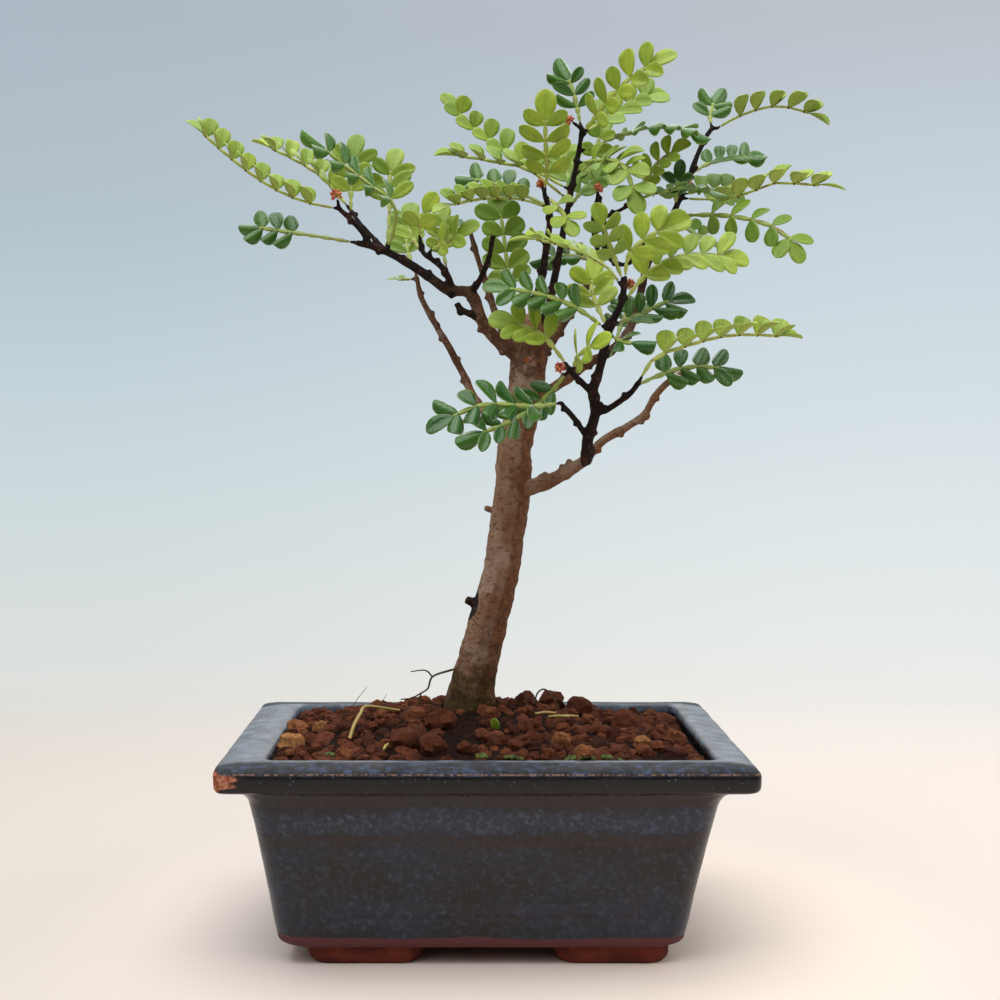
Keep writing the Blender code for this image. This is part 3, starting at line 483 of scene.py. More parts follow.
class Branches:      # centre points of all stems with their radii and darkness, in mm
    def __init__(self):
        self.points = []
        self.knots = []

    def add(self, points, radii, dark):
        for start, end, first, last, darkFirst, darkLast in zip(points, points[1:], radii, radii[1:],
                                                                dark, dark[1:]):
            for step in range(5):
                t = step / 5
                self.points.append((start.lerp(end, t), first + (last - first) * t,
                                    darkFirst + (darkLast - darkFirst) * t))
        self.points.append((points[-1], radii[-1], dark[-1]))

    def nearest(self, place):
        centre, radius, dark = min(self.points, key=lambda item: (item[0] - place).length - item[1])
        return centre, (centre - place).length - radius


def blendRange(first, last, count):
    return [first + (last - first) * index / (count - 1) for index in range(count)]


def readBranches():
    branches = Branches()
    points = [treePlace(*place[:3]) for place in trunkLine]
    branches.add(points, [place[3] for place in trunkLine], [0.0] * len(points))
    for places, first, last, darkFoot, darkTip in stemLines.values():
        points = smoothLine([treePlace(*place) for place in places], woodShape["cadStep"])
        branches.add(points, blendRange(first, last, len(points)), blendRange(darkFoot, darkTip, len(points)))
    return branches


def stemTube(points, radii):      # a round stem drawn as a curve through points in mm, made a mesh
    bpy.ops.curve.primitive_bezier_curve_add(location=(0, 0, 0))
    guide = bpy.context.object
    guide.data.splines.clear()
    spline = guide.data.splines.new("POLY")
    spline.points.add(len(points) - 1)
    for target, point, radius in zip(spline.points, points, radii):
        target.co = (*(point * mm), 1.0)
        target.radius = radius * mm
    guide.data.dimensions = "3D"
    guide.data.bevel_depth = 1.0
    guide.data.bevel_resolution = 3
    guide.data.use_fill_caps = True
    selectOnly(guide)
    bpy.ops.object.convert(target="MESH")
    return bpy.context.object


def makeWood(branches):
    chance = random.Random(5)
    pieces = []
    points = smoothLine([treePlace(*place[:3]) for place in trunkLine], woodShape["step"])
    # radii follow the height, because the trunk climbs all the way
    heights = [treePlace(*place[:3]).z for place in trunkLine]
    radii = []
    for point in points:
        index = max(i for i in range(len(heights) - 1) if heights[i] <= point.z + 0.001)
        share = min(1.0, max(0.0, (point.z - heights[index]) / (heights[index + 1] - heights[index])))
        radii.append(trunkLine[index][3] + (trunkLine[index + 1][3] - trunkLine[index][3]) * share)
    pieces.append(stemTube(points, radii))
    for places, first, last, darkFoot, darkTip in stemLines.values():
        points = smoothLine([treePlace(*place) for place in places], woodShape["step"])
        count = len(points)
        seed = Vector((chance.uniform(0, 50), 0, 0))
        start = chance.uniform(0, woodShape["nodeSpacing"])
        radii = []
        for index, point in enumerate(points):
            away = index * woodShape["step"]
            node = abs((away - start + woodShape["nodeSpacing"] / 2) % woodShape["nodeSpacing"]
                       - woodShape["nodeSpacing"] / 2)
            swell = 1 + woodShape["nodeSwell"] * math.exp(-(node / woodShape["nodeLength"]) ** 2)
            radii.append((first + (last - first) * index / (count - 1)) * swell)
            if 0 < index < count - 1:
                wander = noise.noise_vector(seed + point / 9) * woodShape["kink"]
                points[index] = point + wander * min(1.0, index / 4, (count - 1 - index) / 2)
            if 1 < index < count - 1 and node < woodShape["step"] / 2:      # a bud scar at one side of the node
                way = (points[index] - points[index - 1]).normalized()
                side = way.cross(Vector((chance.uniform(-0.5, 0.5), -1.0,
                                         chance.uniform(-0.4, 0.4)))).normalized() * chance.choice((-1, 1))
                scar = points[index] + side * radii[-1] * 0.85 + way * 0.3
                reach = chance.uniform(0.55, 0.85) + radii[-1] * 0.12
                bpy.ops.mesh.primitive_ico_sphere_add(subdivisions=2, radius=reach * mm, location=scar * mm)
                pieces.append(bpy.context.object)
                branches.knots.append(scar + side * reach * 0.5)
        pieces.append(stemTube(points, radii))
    for across, up, depth, radius in knobPlaces:
        bpy.ops.mesh.primitive_ico_sphere_add(subdivisions=3, radius=radius * mm * 0.85,
                                              location=treePlace(across, up, depth) * mm)
        pieces.append(bpy.context.object)
        if radius < 2.3:
            branches.knots.append(treePlace(across, up + radius * 0.4, depth))
    pieces += spurs(branches)
    wood = joinAll("wood_bark", pieces)
    applyModifier(wood, "REMESH", mode="VOXEL", voxel_size=woodShape["voxel"], use_smooth_shade=True)
    applyModifier(wood, "SMOOTH", factor=0.5, iterations=woodShape["smoothing"])
    roughenBark(wood, branches)
    smoothShade(wood, 60)
    setMaterial(wood, barkMaterial())
    dress(wood, "bark", "wood")


# lumps and upright ridges on the trunk, finer ones on the twigs, and how dark each place is
def roughenBark(wood, branches):
    tree = KDTree(len(branches.points))
    for index, (centre, radius, dark) in enumerate(branches.points):
        tree.insert(centre, index)
    tree.balance()
    knots = KDTree(len(branches.knots))
    for index, knot in enumerate(branches.knots):
        knots.insert(knot, index)
    knots.balance()
    mesh = wood.data
    darkness, knotted, shadedSides, moved = [], [], [], []
    for vert in mesh.vertices:
        place = vert.co / mm
        near = min((branches.points[index] for co, index, away in tree.find_n(place, 6)),
                   key=lambda item: (item[0] - place).length - item[1])
        thick = min(1.0, max(0.0, (near[1] - 1.6) / 3.0))
        lumps = (noise.fractal(place / 5.5, 0.9, 2.1, 3)
                 * (woodShape["trunkLumps"] * thick + woodShape["twigLumps"] * (1 - thick)))
        ridges = (noise.fractal(Vector((place.x / 1.6, place.y / 1.6, place.z / 1.5)), 0.8, 2.0, 3)
                  * woodShape["trunkRidges"] * thick)
        foot = (max(0.0, 1 - abs(place.z - 64) / 9) * 0.9
                * max(0.0, noise.noise(Vector((place.x / 4, place.y / 4, 3.0))) + 0.25))
        moved.append(vert.co + vert.normal * (lumps + ridges + foot) * mm)
        darkness.append(near[2])
        knotted.append(math.exp(-(knots.find(place)[2] / 0.85) ** 2))
        # how far each place faces +x, for the painted shade on that side of the bark
        shadedSides.append(vert.normal.x + 0.5 * noise.noise(place / 7))
    mesh.vertices.foreach_set("co", [value for co in moved for value in co])
    for name, values in (("dark", darkness), ("knot", knotted), ("lee", shadedSides)):
        layer = mesh.attributes.new(name, "FLOAT", "POINT")
        layer.data.foreach_set("value", values)
    mesh.update()


def barkMaterial():
    look = {"brown": colour(150, 112, 86), "pale": colour(178, 148, 126), "shade": colour(94, 58, 36),
            "rust": colour(140, 84, 44), "twig": colour(34, 24, 21), "twigRed": colour(72, 40, 31),
            "foot": colour(64, 42, 18), "moss": colour(88, 86, 22), "fleck": colour(184, 152, 116),
            "pit": colour(52, 31, 19), "collar": colour(76, 44, 29), "scar": colour(186, 84, 40)}
    material, tree, shader = newMaterial("bark", Roughness=0.9, Specular_IOR_Level=0.2)
    place = objectPlace(tree)
    lying = addNode(tree, "ShaderNodeMapping", {"Vector": place, "Scale": (0.8, 0.8, 1.25)}).outputs[0]
    brown = patches(tree, place, 0.014, 5.0, 0.4, 0.62, look["brown"], look["pale"])
    # painted shade: the side facing +x is painted darker and redder, with patches of rust and shade colour, as the
    # light falls on the trunk
    side = ramp(tree, attribute(tree, "lee"), -0.25, 0.55)
    broken = patches(tree, place, 0.0018, 6.0, 0.42, 0.62, look["rust"], look["shade"])
    brown = mixColour(tree, times(tree, side, 0.8), brown, broken)
    shade = patches(tree, lying, 0.0016, 6.0, 0.5, 0.74, brown, look["shade"])
    fleck = speckMask(tree, place, 0.0009, 0.34, 0.35)
    pit = speckMask(tree, lying, 0.0012, 0.34, 0.3)
    spotted = mixColour(tree, times(tree, fleck, 0.35), shade, look["fleck"])
    spotted = mixColour(tree, times(tree, pit, 0.5), spotted, look["pit"])
    height = addNode(tree, "ShaderNodeSeparateXYZ", {0: place}).outputs[2]
    cloud = grainHeight(tree, place, 0.006, 0.2)
    wavy = plus(tree, height, times(tree, minus(tree, cloud, 0.55), 0.04))
    footMask = ramp(tree, wavy, 0.088, 0.068)
    mossMask = patchMask(tree, place, 0.0022, 6.0, 0.44, 0.62)
    foot = mixColour(tree, times(tree, mossMask, 0.6), look["foot"], look["moss"])
    trunk = mixColour(tree, times(tree, footMask, 0.92), spotted, foot)
    collarMask = times(tree, ramp(tree, wavy, 0.168, 0.176), ramp(tree, wavy, 0.19, 0.182))
    trunk = mixColour(tree, times(tree, collarMask, 0.75), trunk, look["collar"])
    scarAway = addNode(tree, "ShaderNodeVectorMath", {0: place, 1: treePlace(12.5, 174.0, -3.5) * mm},
                       operation="DISTANCE").outputs["Value"]
    trunk = mixColour(tree, ramp(tree, scarAway, 0.0012, 0.0005, 0.0, 0.75), trunk, look["scar"])
    twig = patches(tree, place, 0.004, 3.0, 0.5, 0.72, look["twig"], look["twigRed"])
    twig = mixColour(tree, times(tree, fleck, 0.18), twig, look["fleck"])
    bare = mixColour(tree, ramp(tree, attribute(tree, "dark"), 0.15, 0.7), trunk, twig)
    knot = times(tree, ramp(tree, attribute(tree, "knot"), 0.2, 0.9), 0.8)
    tree.links.new(mixColour(tree, knot, bare, look["pit"]), shader.inputs["Base Color"])
    relief = grainHeight(tree, lying, 0.0009, 0.6)
    addBump(tree, shader, relief, 0.9, 0.0007)
    return material


def spurs(branches):      # the short spurs that carry the fronds' and buds' feet
    made = []
    for seat, direction in seatPlaces(branches):
        bend = seat - direction * 1.5
        centre = branches.nearest(bend)[0]
        made.append(stemTube([centre, bend, seat - direction * 0.2],
                             [woodShape["spurRadius"] * 1.25, woodShape["spurRadius"],
                              woodShape["spurRadius"] * 0.8]))
    return made


# path from foot to the end leaflet's tip, pairs, tilt of the upper side, fold of the rows, bare share, leaflet length
frondLines = {
    "left": [
        ([(-45.6, 220.8, -4), (-58.0, 223.6, -4), (-69.8, 229.5, -3), (-82.2, 239.1, -1), (-92.7, 249.0, 2)],
         8, 12, 58, 0.12, 7.5),
        ([(-40.0, 210.3, -5), (-55.5, 212.8, 2), (-69.8, 214.9, 8), (-77.2, 215.9, 11)], 3, 60, 15, 0.5, 8.0),
        ([(-42.5, 221.0, 18), (-51.8, 231.4, 23), (-64.2, 238.5, 27), (-72.9, 241.6, 30)], 5, 20, 40, 0.2, 8.0),
        ([(-30.7, 207.0, -7), (-28.0, 221.1, -14), (-36.3, 228.3, -18), (-46.2, 236.0, -21),
          (-57.4, 245.6, -24)], 5, 35, 20, 0.32, 9.0),
        ([(-42.0, 217.6, -5), (-41.9, 231.4, -1), (-39.7, 244.5, 2)], 3, 85, 15, 0.25, 9.0),
        ([(-31.0, 207.5, -6), (-30.0, 222.0, 0), (-30.0, 231.0, 4), (-26.5, 240.0, 7)], 3, 80, 10, 0.45, 9.0),
        ([(-20.5, 209.8, -7), (-20.8, 216.8, -8), (-18.6, 221.1, -9), (-16.0, 226.5, -10)], 1, 70, 25, 0.1, 7.5),
        ([(-19.6, 206.6, -8), (-13.0, 210.3, -13), (-7.8, 213.4, -16), (-2.2, 215.9, -19)], 2, 60, 25, 0.2, 8.0),
        ([(-20.0, 206.6, -8), (-23.9, 213.9, 2), (-27.0, 219.9, 9)], 2, 60, 20, 0.3, 7.5),
    ],
    "centre": [
        ([(19.5, 221.0, -2), (10.2, 223.9, -9), (-2.2, 223.9, -15), (-17.1, 220.5, -21)], 6, 20, 60, 0.2, 7.5),
        ([(26.0, 226.5, 8), (10.2, 236.0, 15), (0.0, 243.1, 19), (-5.3, 246.9, 20), (-14.0, 256.8, 22)],
         6, 40, 35, 0.2, 8.0),
        ([(25.5, 223.5, 8), (13.3, 232.9, 3), (4.0, 235.1, 0), (-5.3, 236.9, -2), (-16.5, 237.6, -4)],
         5, 30, 35, 0.25, 8.0),
        ([(24.8, 219.0, 8), (4.0, 228.3, 28), (-10.0, 230.7, 37)], 4, 60, 15, 0.4, 8.0),
        ([(18.0, 225.2, -2), (18.8, 233.3, -7), (18.2, 243.1, -11), (18.4, 258.3, -14)], 4, 85, 8, 0.15, 9.5),
        ([(12.0, 186.0, 4), (7.0, 200.4, 18), (4.9, 215.9, 24), (2.5, 227.0, 28)], 5, 80, 10, 0.3, 9.5),
    ],
    "top": [
        ([(29.5, 245.2, 6), (26.6, 258.0, 9), (21.7, 267.9, 12)], 3, 70, 20, 0.2, 9.0),
        ([(29.5, 243.5, 6), (38.1, 255.1, -5), (47.1, 263.3, -9), (59.2, 269.2, -12)], 5, 65, 20, 0.15, 9.0),
        ([(29.6, 244.0, 6), (41.2, 251.4, 15), (47.7, 255.2, 19), (56.7, 256.8, 24)], 4, 60, 25, 0.2, 8.5),
        ([(28.7, 238.6, 7), (47.4, 245.4, 2), (59.8, 245.9, 1), (69.7, 242.2, 0)], 5, 15, 15, 0.25, 8.5),
        ([(28.0, 235.2, 8), (40.6, 235.7, -9), (44.9, 228.6, -15), (46.8, 218.6, -18)], 4, 60, 15, 0.3, 8.5),
    ],
    "right": [
        ([(70.0, 245.0, 22), (79.0, 249.9, 19), (89.3, 252.7, 16), (99.5, 250.6, 13), (105.4, 245.6, 11)],
         5, 10, 62, 0.18, 8.0),
        ([(69.8, 245.5, 22), (69.5, 251.5, 28), (74.1, 258.5, 33)], 2, 70, 20, 0.2, 8.5),
        ([(63.0, 231.5, 20.5), (70.7, 235.5, 29), (87.1, 237.5, 38)], 4, 40, 25, 0.25, 8.5),
        ([(60.0, 224.0, 20), (75.9, 224.2, 12), (89.3, 228.9, 4), (97.0, 228.6, 1), (111.6, 227.6, -4)],
         6, 15, 45, 0.2, 8.5),
        ([(60.4, 225.2, 20), (69.1, 226.9, 28), (80.9, 226.5, 38)], 3, 60, 10, 0.25, 8.5),
        ([(57.4, 218.5, 20), (70.7, 219.0, 8), (83.0, 217.3, 0), (93.0, 212.8, -5), (97.0, 203.4, -8)],
         5, 75, -10, 0.25, 8.0),
        ([(58.5, 221.0, 20), (59.0, 228.0, 12), (60.5, 236.5, 9)], 2, 80, 10, 0.15, 7.0),
        ([(46.0, 223.5, 10), (55.2, 226.4, 3), (66.0, 227.3, -2), (74.7, 223.6, -5)], 4, 5, 15, 0.2, 8.5),
    ],
    "front": [
        ([(42.8, 197.0, -33), (44.5, 207.5, -34), (54.2, 214.3, -33), (64.1, 216.2, -32)], 3, 75, 10, 0.25, 9.5),
        ([(41.5, 190.5, -32), (49.9, 201.0, -28), (59.8, 206.2, -25), (72.8, 206.2, -22), (81.2, 202.8, -20)],
         6, 60, 20, 0.2, 9.0),
        ([(38.7, 184.9, -30), (47.4, 188.0, -25), (56.1, 192.0, -22), (65.1, 190.1, -20)], 4, 55, 25, 0.12, 9.0),
        ([(47.1, 167.0, -30), (52.0, 174.5, -28), (62.9, 178.7, -25), (76.9, 181.8, -19), (97.9, 181.1, -11)],
         7, 20, 50, 0.18, 8.0),
        ([(46.2, 165.9, -29.2), (53.0, 169.0, -22), (63.8, 172.0, -16), (80.0, 170.5, -12)], 4, 60, 10, 0.3, 8.5),
        ([(37.8, 182.0, -29.5), (43.7, 179.2, -37), (53.0, 180.6, -42)], 1, 65, 10, 0.2, 8.0),
        ([(25.7, 171.2, -28), (18.0, 162.0, -21), (7.1, 154.8, -20), (-10.0, 148.3, -22)], 6, 60, 20, 0.15, 9.0),
        ([(23.2, 160.7, -32), (14.0, 159.6, -39), (-2.2, 160.0, -44), (-18.9, 151.7, -46)], 5, 50, 15, 0.2, 9.0),
        ([(25.8, 171.0, -28), (21.0, 177.6, -28), (14.9, 183.3, -27), (0.3, 187.0, -25)], 3, 60, 20, 0.3, 9.0),
        ([(26.5, 170.3, -27.5), (29.4, 176.5, -37), (39.3, 181.1, -46)], 2, 65, 15, 0.25, 8.5),
        ([(38.0, 183.0, -30), (26.3, 191.0, -31), (13.3, 195.1, -29), (-1.6, 196.9, -27)], 5, 60, 15, 0.22, 8.5),
        ([(42.6, 196.0, -33), (35.6, 204.1, -31), (19.5, 210.6, -28), (6.5, 211.2, -26)], 5, 10, 20, 0.25, 8.5),
        ([(38.0, 183.0, -29.5), (33.5, 192.6, -20), (32.5, 198.0, -16), (35.5, 207.0, -14)], 3, 80, 8, 0.3, 9.0),
    ],
    "back": [
        ([(34.4, 203.8, 20), (26.0, 206.5, 25), (13.0, 204.5, 28)], 3, 50, 20, 0.15, 7.5),
        ([(34.4, 225.2, 25), (37.0, 238.5, 30)], 2, 80, 10, 0.1, 6.0),
        ([(-21.7, 199.0, 26), (-31.0, 199.1, 29)], 1, 20, 20, 0.2, 4.0),
        ([(-21.7, 199.7, 26), (-25.0, 211.0, 36), (-23.0, 223.0, 44)], 4, 60, 20, 0.3, 8.5),
        ([(-5.6, 215.5, 13), (-11.5, 213.5, 24), (-13.5, 206.5, 35)], 3, 50, 20, 0.25, 8.0),
        ([(39.5, 178.0, 14.5), (43.0, 188.0, 30), (48.0, 194.0, 42)], 4, 40, 20, 0.25, 8.5),
        ([(25.4, 222.5, 8), (25.0, 232.0, 20), (21.0, 241.0, 34)], 4, 50, 20, 0.25, 8.5),
    ],
}
# how far each frond has aged: 0 is the palest new leaf and 1 the darkest
frondAges = {
    "left": (0.25, 0.85, 0.2, 0.75, 0.35, 0.35, 0.1, 0.25, 0.25),
    "centre": (0.3, 0.3, 0.3, 0.8, 0.08, 0.45),
    "top": (0.85, 0.08, 0.3, 0.75, 0.4),
    "right": (0.3, 0.8, 0.8, 0.12, 0.5, 0.5, 0.95, 0.9),
    "front": (0.05, 0.15, 0.95, 0.12, 0.9, 0.95, 0.95, 1.0, 0.15, 0.1, 0.8, 0.15, 0.1),
    "back": (0.9, 0.4, 0.5, 0.45, 0.9, 0.9, 0.4),
}
# small sprigs that fill the middle of the crown, as the fronds above, with the age at the end
sprigLines = [
    ([(27.0, 231.5, 8), (37.0, 236.0, 0), (49.0, 231.0, -9)], 4, 55, 20, 0.2, 7.0, 0.3),
    ([(34.4, 225.2, 25), (33.5, 238.0, 30), (38.0, 249.5, 33)], 3, 70, 20, 0.2, 7.0, 0.4),
    ([(46.0, 223.5, 10), (53.0, 235.0, 5), (63.5, 241.5, 1)], 4, 60, 25, 0.2, 7.0, 0.2),
    ([(18.0, 225.2, -2), (23.5, 220.0, -9), (27.5, 212.0, -14)], 2, 70, 20, 0.2, 7.0, 0.2),
    ([(42.8, 197.0, -33), (38.0, 210.0, -38), (33.5, 223.0, -40)], 3, 70, 20, 0.3, 7.0, 0.35),
    ([(57.6, 219.0, 20), (63.0, 214.0, 28), (72.0, 209.5, 33)], 3, 50, 25, 0.2, 7.0, 0.5),
    ([(24.8, 219.6, 8), (31.0, 228.0, 14), (40.5, 232.0, 20)], 3, 60, 20, 0.2, 7.0, 0.55),
    ([(-12.0, 200.4, -8), (-14.0, 212.0, -2), (-12.5, 222.0, 3)], 3, 75, 15, 0.3, 6.5, 0.3),
]
youngUpTo = 0.6          # fronds older than this take the old leaf's finish
frondShape = {
    "step": 0.8, "root": 1.3, "width": 0.7, "crowding": 1.0, "oldWidth": 0.6, "oldCrowding": 0.84, "sweep": 58.0,
    "twist": 22.0,
    "youngLength": 0.92, "oldLength": 0.88, "seatClear": 1.5, "wingWidth": 1.6, "wingDepth": 0.75,
}


def pointAlong(line, distance):
    step = (line[1] - line[0]).length
    place = min(max(distance / step, 0.0), len(line) - 1.001)
    index = int(place)
    direction = line[min(index + 2, len(line) - 1)] - line[max(index - 1, 0)]
    return line[index].lerp(line[index + 1], place - index), direction.normalized()


def bladeSides(direction, tilt):      # upper side and left side of a blade that runs in a direction
    face = Vector((0.0, -math.sin(math.radians(tilt)), math.cos(math.radians(tilt))))
    upper = (face - direction * face.dot(direction)).normalized()
    return upper, upper.cross(direction)


def frondLine(places, branches):
    line = smoothLine([treePlace(*place) for place in places], frondShape["step"])
    while branches.nearest(line[0])[1] < frondShape["seatClear"]:
        line.pop(0)
    return line


budPlaces = {
    "bud_left": (-46.6, 225.2, -7.0, 1.9), "bud_crown": (25.6, 248.4, 3.0, 1.7),
    "bud_crown_low": (17.0, 228.6, 1.8, 1.8), "bud_right": (34.6, 227.2, 12.0, 1.8),
    "bud_far_right": (63.0, 227.6, 16.6, 1.8), "bud_front": (44.4, 197.6, -28.8, 1.7),
    "bud_front_left": (22.8, 171.6, -31.6, 1.7),
}


def seatPlaces(branches):      # where each frond and bud head is carried, and the way it points there
    seats = []
    for record in [record for records in frondLines.values() for record in records] + sprigLines:
        line = frondLine(record[0], branches)
        seats.append((line[0], (line[1] - line[0]).normalized()))
    for across, up, depth, radius in budPlaces.values():
        centre = treePlace(across, up, depth)
        outward = (centre - branches.nearest(centre)[0]).normalized()
        seats.append((centre - outward * radius * 0.7, outward))
    return seats


# one leaflet 1 long and 1 wide at its widest: a grid whose rows are drawn in to the outline
def modelLeaflet(name, cup, droop, curl):
    shares = [0.0, 0.06, 0.18, 0.36, 0.56, 0.74, 0.88, 0.965, 1.0]       # of the length, row by row
    widths = [0.12, 0.28, 0.6, 0.89, 1.0, 0.93, 0.71, 0.43, 0.17]
    rows = len(shares) - 1
    bpy.ops.mesh.primitive_grid_add(x_subdivisions=4, y_subdivisions=rows, size=1, location=(0, 0.5, 0))
    leaf = bpy.context.object
    leaf.name = name
    applyPlace(leaf)
    for row in reversed(range(rows + 1)):
        old = row / rows
        selectVerts(leaf, lambda co: abs(co.y - old) < 0.004)
        bpy.ops.transform.resize(value=(widths[row], 1, 1), center_override=(0, old, 0))
        bpy.ops.object.mode_set(mode="OBJECT")
    mesh = leaf.data
    for vert in mesh.vertices:          # rows go to their shares of the length, with a notch in the tip
        row = round(vert.co.y * rows)
        side = abs(vert.co.x) * 2
        half = widths[row]
        y = shares[row]
        lift = cup * side * side - droop * y * y + curl * vert.co.x * y
        notch = 0.028 if row == rows and side < 0.01 else 0.0
        shoulder = 0.02 * (side / half) ** 2 if row >= rows - 1 else 0.0
        vert.co = Vector((vert.co.x, y - notch - shoulder, lift))
    paintWhole(leaf, "under", 0.0)
    applyModifier(leaf, "SOLIDIFY", thickness=0.036, offset=1.0, use_rim=True)
    layer = leaf.data.attributes["under"]
    flags = [0.0] * len(leaf.data.vertices)
    for index in range(len(flags) // 2, len(flags)):
        flags[index] = 1.0
    layer.data.foreach_set("value", flags)
    selectOnly(leaf)
    bpy.ops.object.mode_set(mode="EDIT")
    bpy.ops.mesh.select_all(action="SELECT")
    bpy.ops.mesh.normals_make_consistent(inside=False)
    bpy.ops.object.mode_set(mode="OBJECT")
    bpy.ops.object.shade_smooth()
    return leaf


def modelWing():      # one length of the winged stalk, 1 long: narrow at its joints and broad between them
    wide, thick = frondShape["wingWidth"], frondShape["wingDepth"]
    bpy.ops.mesh.primitive_cube_add(size=1, location=(0, 0.1, 0), scale=(wide * 0.55, 0.2, thick))
    wing = bpy.context.object
    applyPlace(wing)
    for reach, width in ((0.25, 1.0), (0.3, 1.0), (0.25, 0.5)):
        ahead = max(vert.co.y for vert in wing.data.vertices)
        broad = max(vert.co.x for vert in wing.data.vertices if vert.co.y > ahead - 0.001) * 2
        selectVerts(wing, lambda co: co.y > ahead - 0.001)
        bpy.ops.mesh.extrude_region_move(TRANSFORM_OT_translate={"value": (0, reach, 0)})
        bpy.ops.transform.resize(value=(wide * width / broad, 1, 1), center_override=(0, 0, 0))
        bpy.ops.object.mode_set(mode="OBJECT")
    applyModifier(wing, "BEVEL", width=thick * 0.3, segments=1, limit_method="ANGLE", angle_limit=math.radians(50))
    paintWhole(wing, "tone", 0.5)
    smoothShade(wing, 50)
    return wing


def modelJoint():      # the small brown swelling where leaflets are seated
    bpy.ops.mesh.primitive_ico_sphere_add(subdivisions=2, radius=0.5, scale=(1.5, 0.8, 0.95))
    joint = bpy.context.object
    applyPlace(joint)
    bpy.ops.object.shade_smooth()
    return joint


def leafMaterial(name, look, **constants):
    material, tree, shader = newMaterial(name, **constants)
    blade = addNode(tree, "ShaderNodeUVMap").outputs[0]
    drawn = placeGroup(tree, veins, {"Blade": blade, "Pairs": look["pairs"]})
    tone = attribute(tree, "tone")
    top = mixColour(tree, tone, look["young"], look["aged"])
    under = mixColour(tree, tone, look["underYoung"], look["underAged"])
    patchy = patches(tree, objectPlace(tree), 0.004, 2.0, 0.35, 0.7, top, mixColour(tree, 0.5, top, look["shade"]))
    body = mixColour(tree, attribute(tree, "under"), patchy, under)
    ribbed = mixColour(tree, times(tree, drawn.outputs["Rib"], look["ribShare"]), body, look["rib"])
    veined = mixColour(tree, times(tree, drawn.outputs["Vein"], look["veinShare"]), ribbed, look["vein"])
    fleck = speckMask(tree, objectPlace(tree), 0.0021, 0.14, 0.12)
    dotted = mixColour(tree, times(tree, fleck, 0.5), veined, look["fleck"])
    edged = mixColour(tree, times(tree, drawn.outputs["Edge"], look["edgeShare"]), dotted, look["edge"])
    tree.links.new(edged, shader.inputs["Base Color"])
    shine = ramp(tree, attribute(tree, "under"), 0.0, 1.0, look["gloss"], 0.6)
    tree.links.new(shine, shader.inputs["Roughness"])
    addBump(tree, shader, drawn.outputs["Height"], 0.35, 0.0001)
    return material


def makeLeafMaterials():
    shared = {"pairs": 6.0, "fleck": colour(92, 62, 24)}
    young = leafMaterial("youngLeaf", {**shared, "young": colour(166, 186, 58), "aged": colour(98, 134, 44),
                                       "underYoung": colour(160, 178, 76), "underAged": colour(118, 144, 60),
                                       "shade": colour(112, 146, 44), "rib": colour(104, 114, 42), "ribShare": 0.5,
                                       "vein": colour(134, 158, 44), "veinShare": 0.3, "gloss": 0.42,
                                       "edge": colour(188, 200, 98), "edgeShare": 0.3}, Specular_IOR_Level=0.35)
    old = leafMaterial("oldLeaf", {**shared, "young": colour(92, 134, 48), "aged": colour(36, 82, 24),
                                   "underYoung": colour(130, 158, 74), "underAged": colour(96, 130, 58),
                                   "shade": colour(48, 92, 28), "rib": colour(108, 148, 60), "ribShare": 0.45,
                                   "vein": colour(44, 86, 24), "veinShare": 0.35, "gloss": 0.22,
                                   "edge": colour(136, 166, 66), "edgeShare": 0.55}, Specular_IOR_Level=0.42)
    return young, old


def stalkMaterial():      # winged stalk: yellow green, with patches of brown
    look = {"young": colour(174, 184, 84), "aged": colour(132, 152, 64), "brown": colour(136, 120, 62)}
    material, tree, shader = newMaterial("frondStalk", Roughness=0.5)
    green = mixColour(tree, attribute(tree, "tone"), look["young"], look["aged"])
    body = placeGroup(tree, mottle, {"Place": objectPlace(tree), "Size": 0.003, "Detail": 3.0, "From": 0.5,
                                     "To": 0.72, "Under": green, "Over": look["brown"]})
    tree.links.new(body.outputs["Colour"], shader.inputs["Base Color"])
    addBump(tree, shader, grainHeight(tree, objectPlace(tree), 0.0012, 0.2), 0.3, 0.0002)
    return material


def jointMaterial():
    material, tree, shader = newMaterial("frondJoint", Roughness=0.65)
    body = placeGroup(tree, mottle, {"Place": objectPlace(tree), "Size": 0.0012, "Detail": 2.0, "From": 0.4,
                                     "To": 0.6, "Under": colour(78, 46, 20), "Over": colour(116, 96, 40)})
    tree.links.new(body.outputs["Colour"], shader.inputs["Base Color"])
    addBump(tree, shader, body.outputs["Mask"], 0.3, 0.0002)
    return material


# matrix that puts a unit shape at a place, with its own x, y and z ways and sizes, in mm
def standOn(place, across, along, upper, widths):
    turn = Matrix((across, along, upper)).transposed().to_4x4()
    return Matrix.Translation(place * mm) @ turn @ Matrix.Diagonal((*[width * mm for width in widths], 1.0))


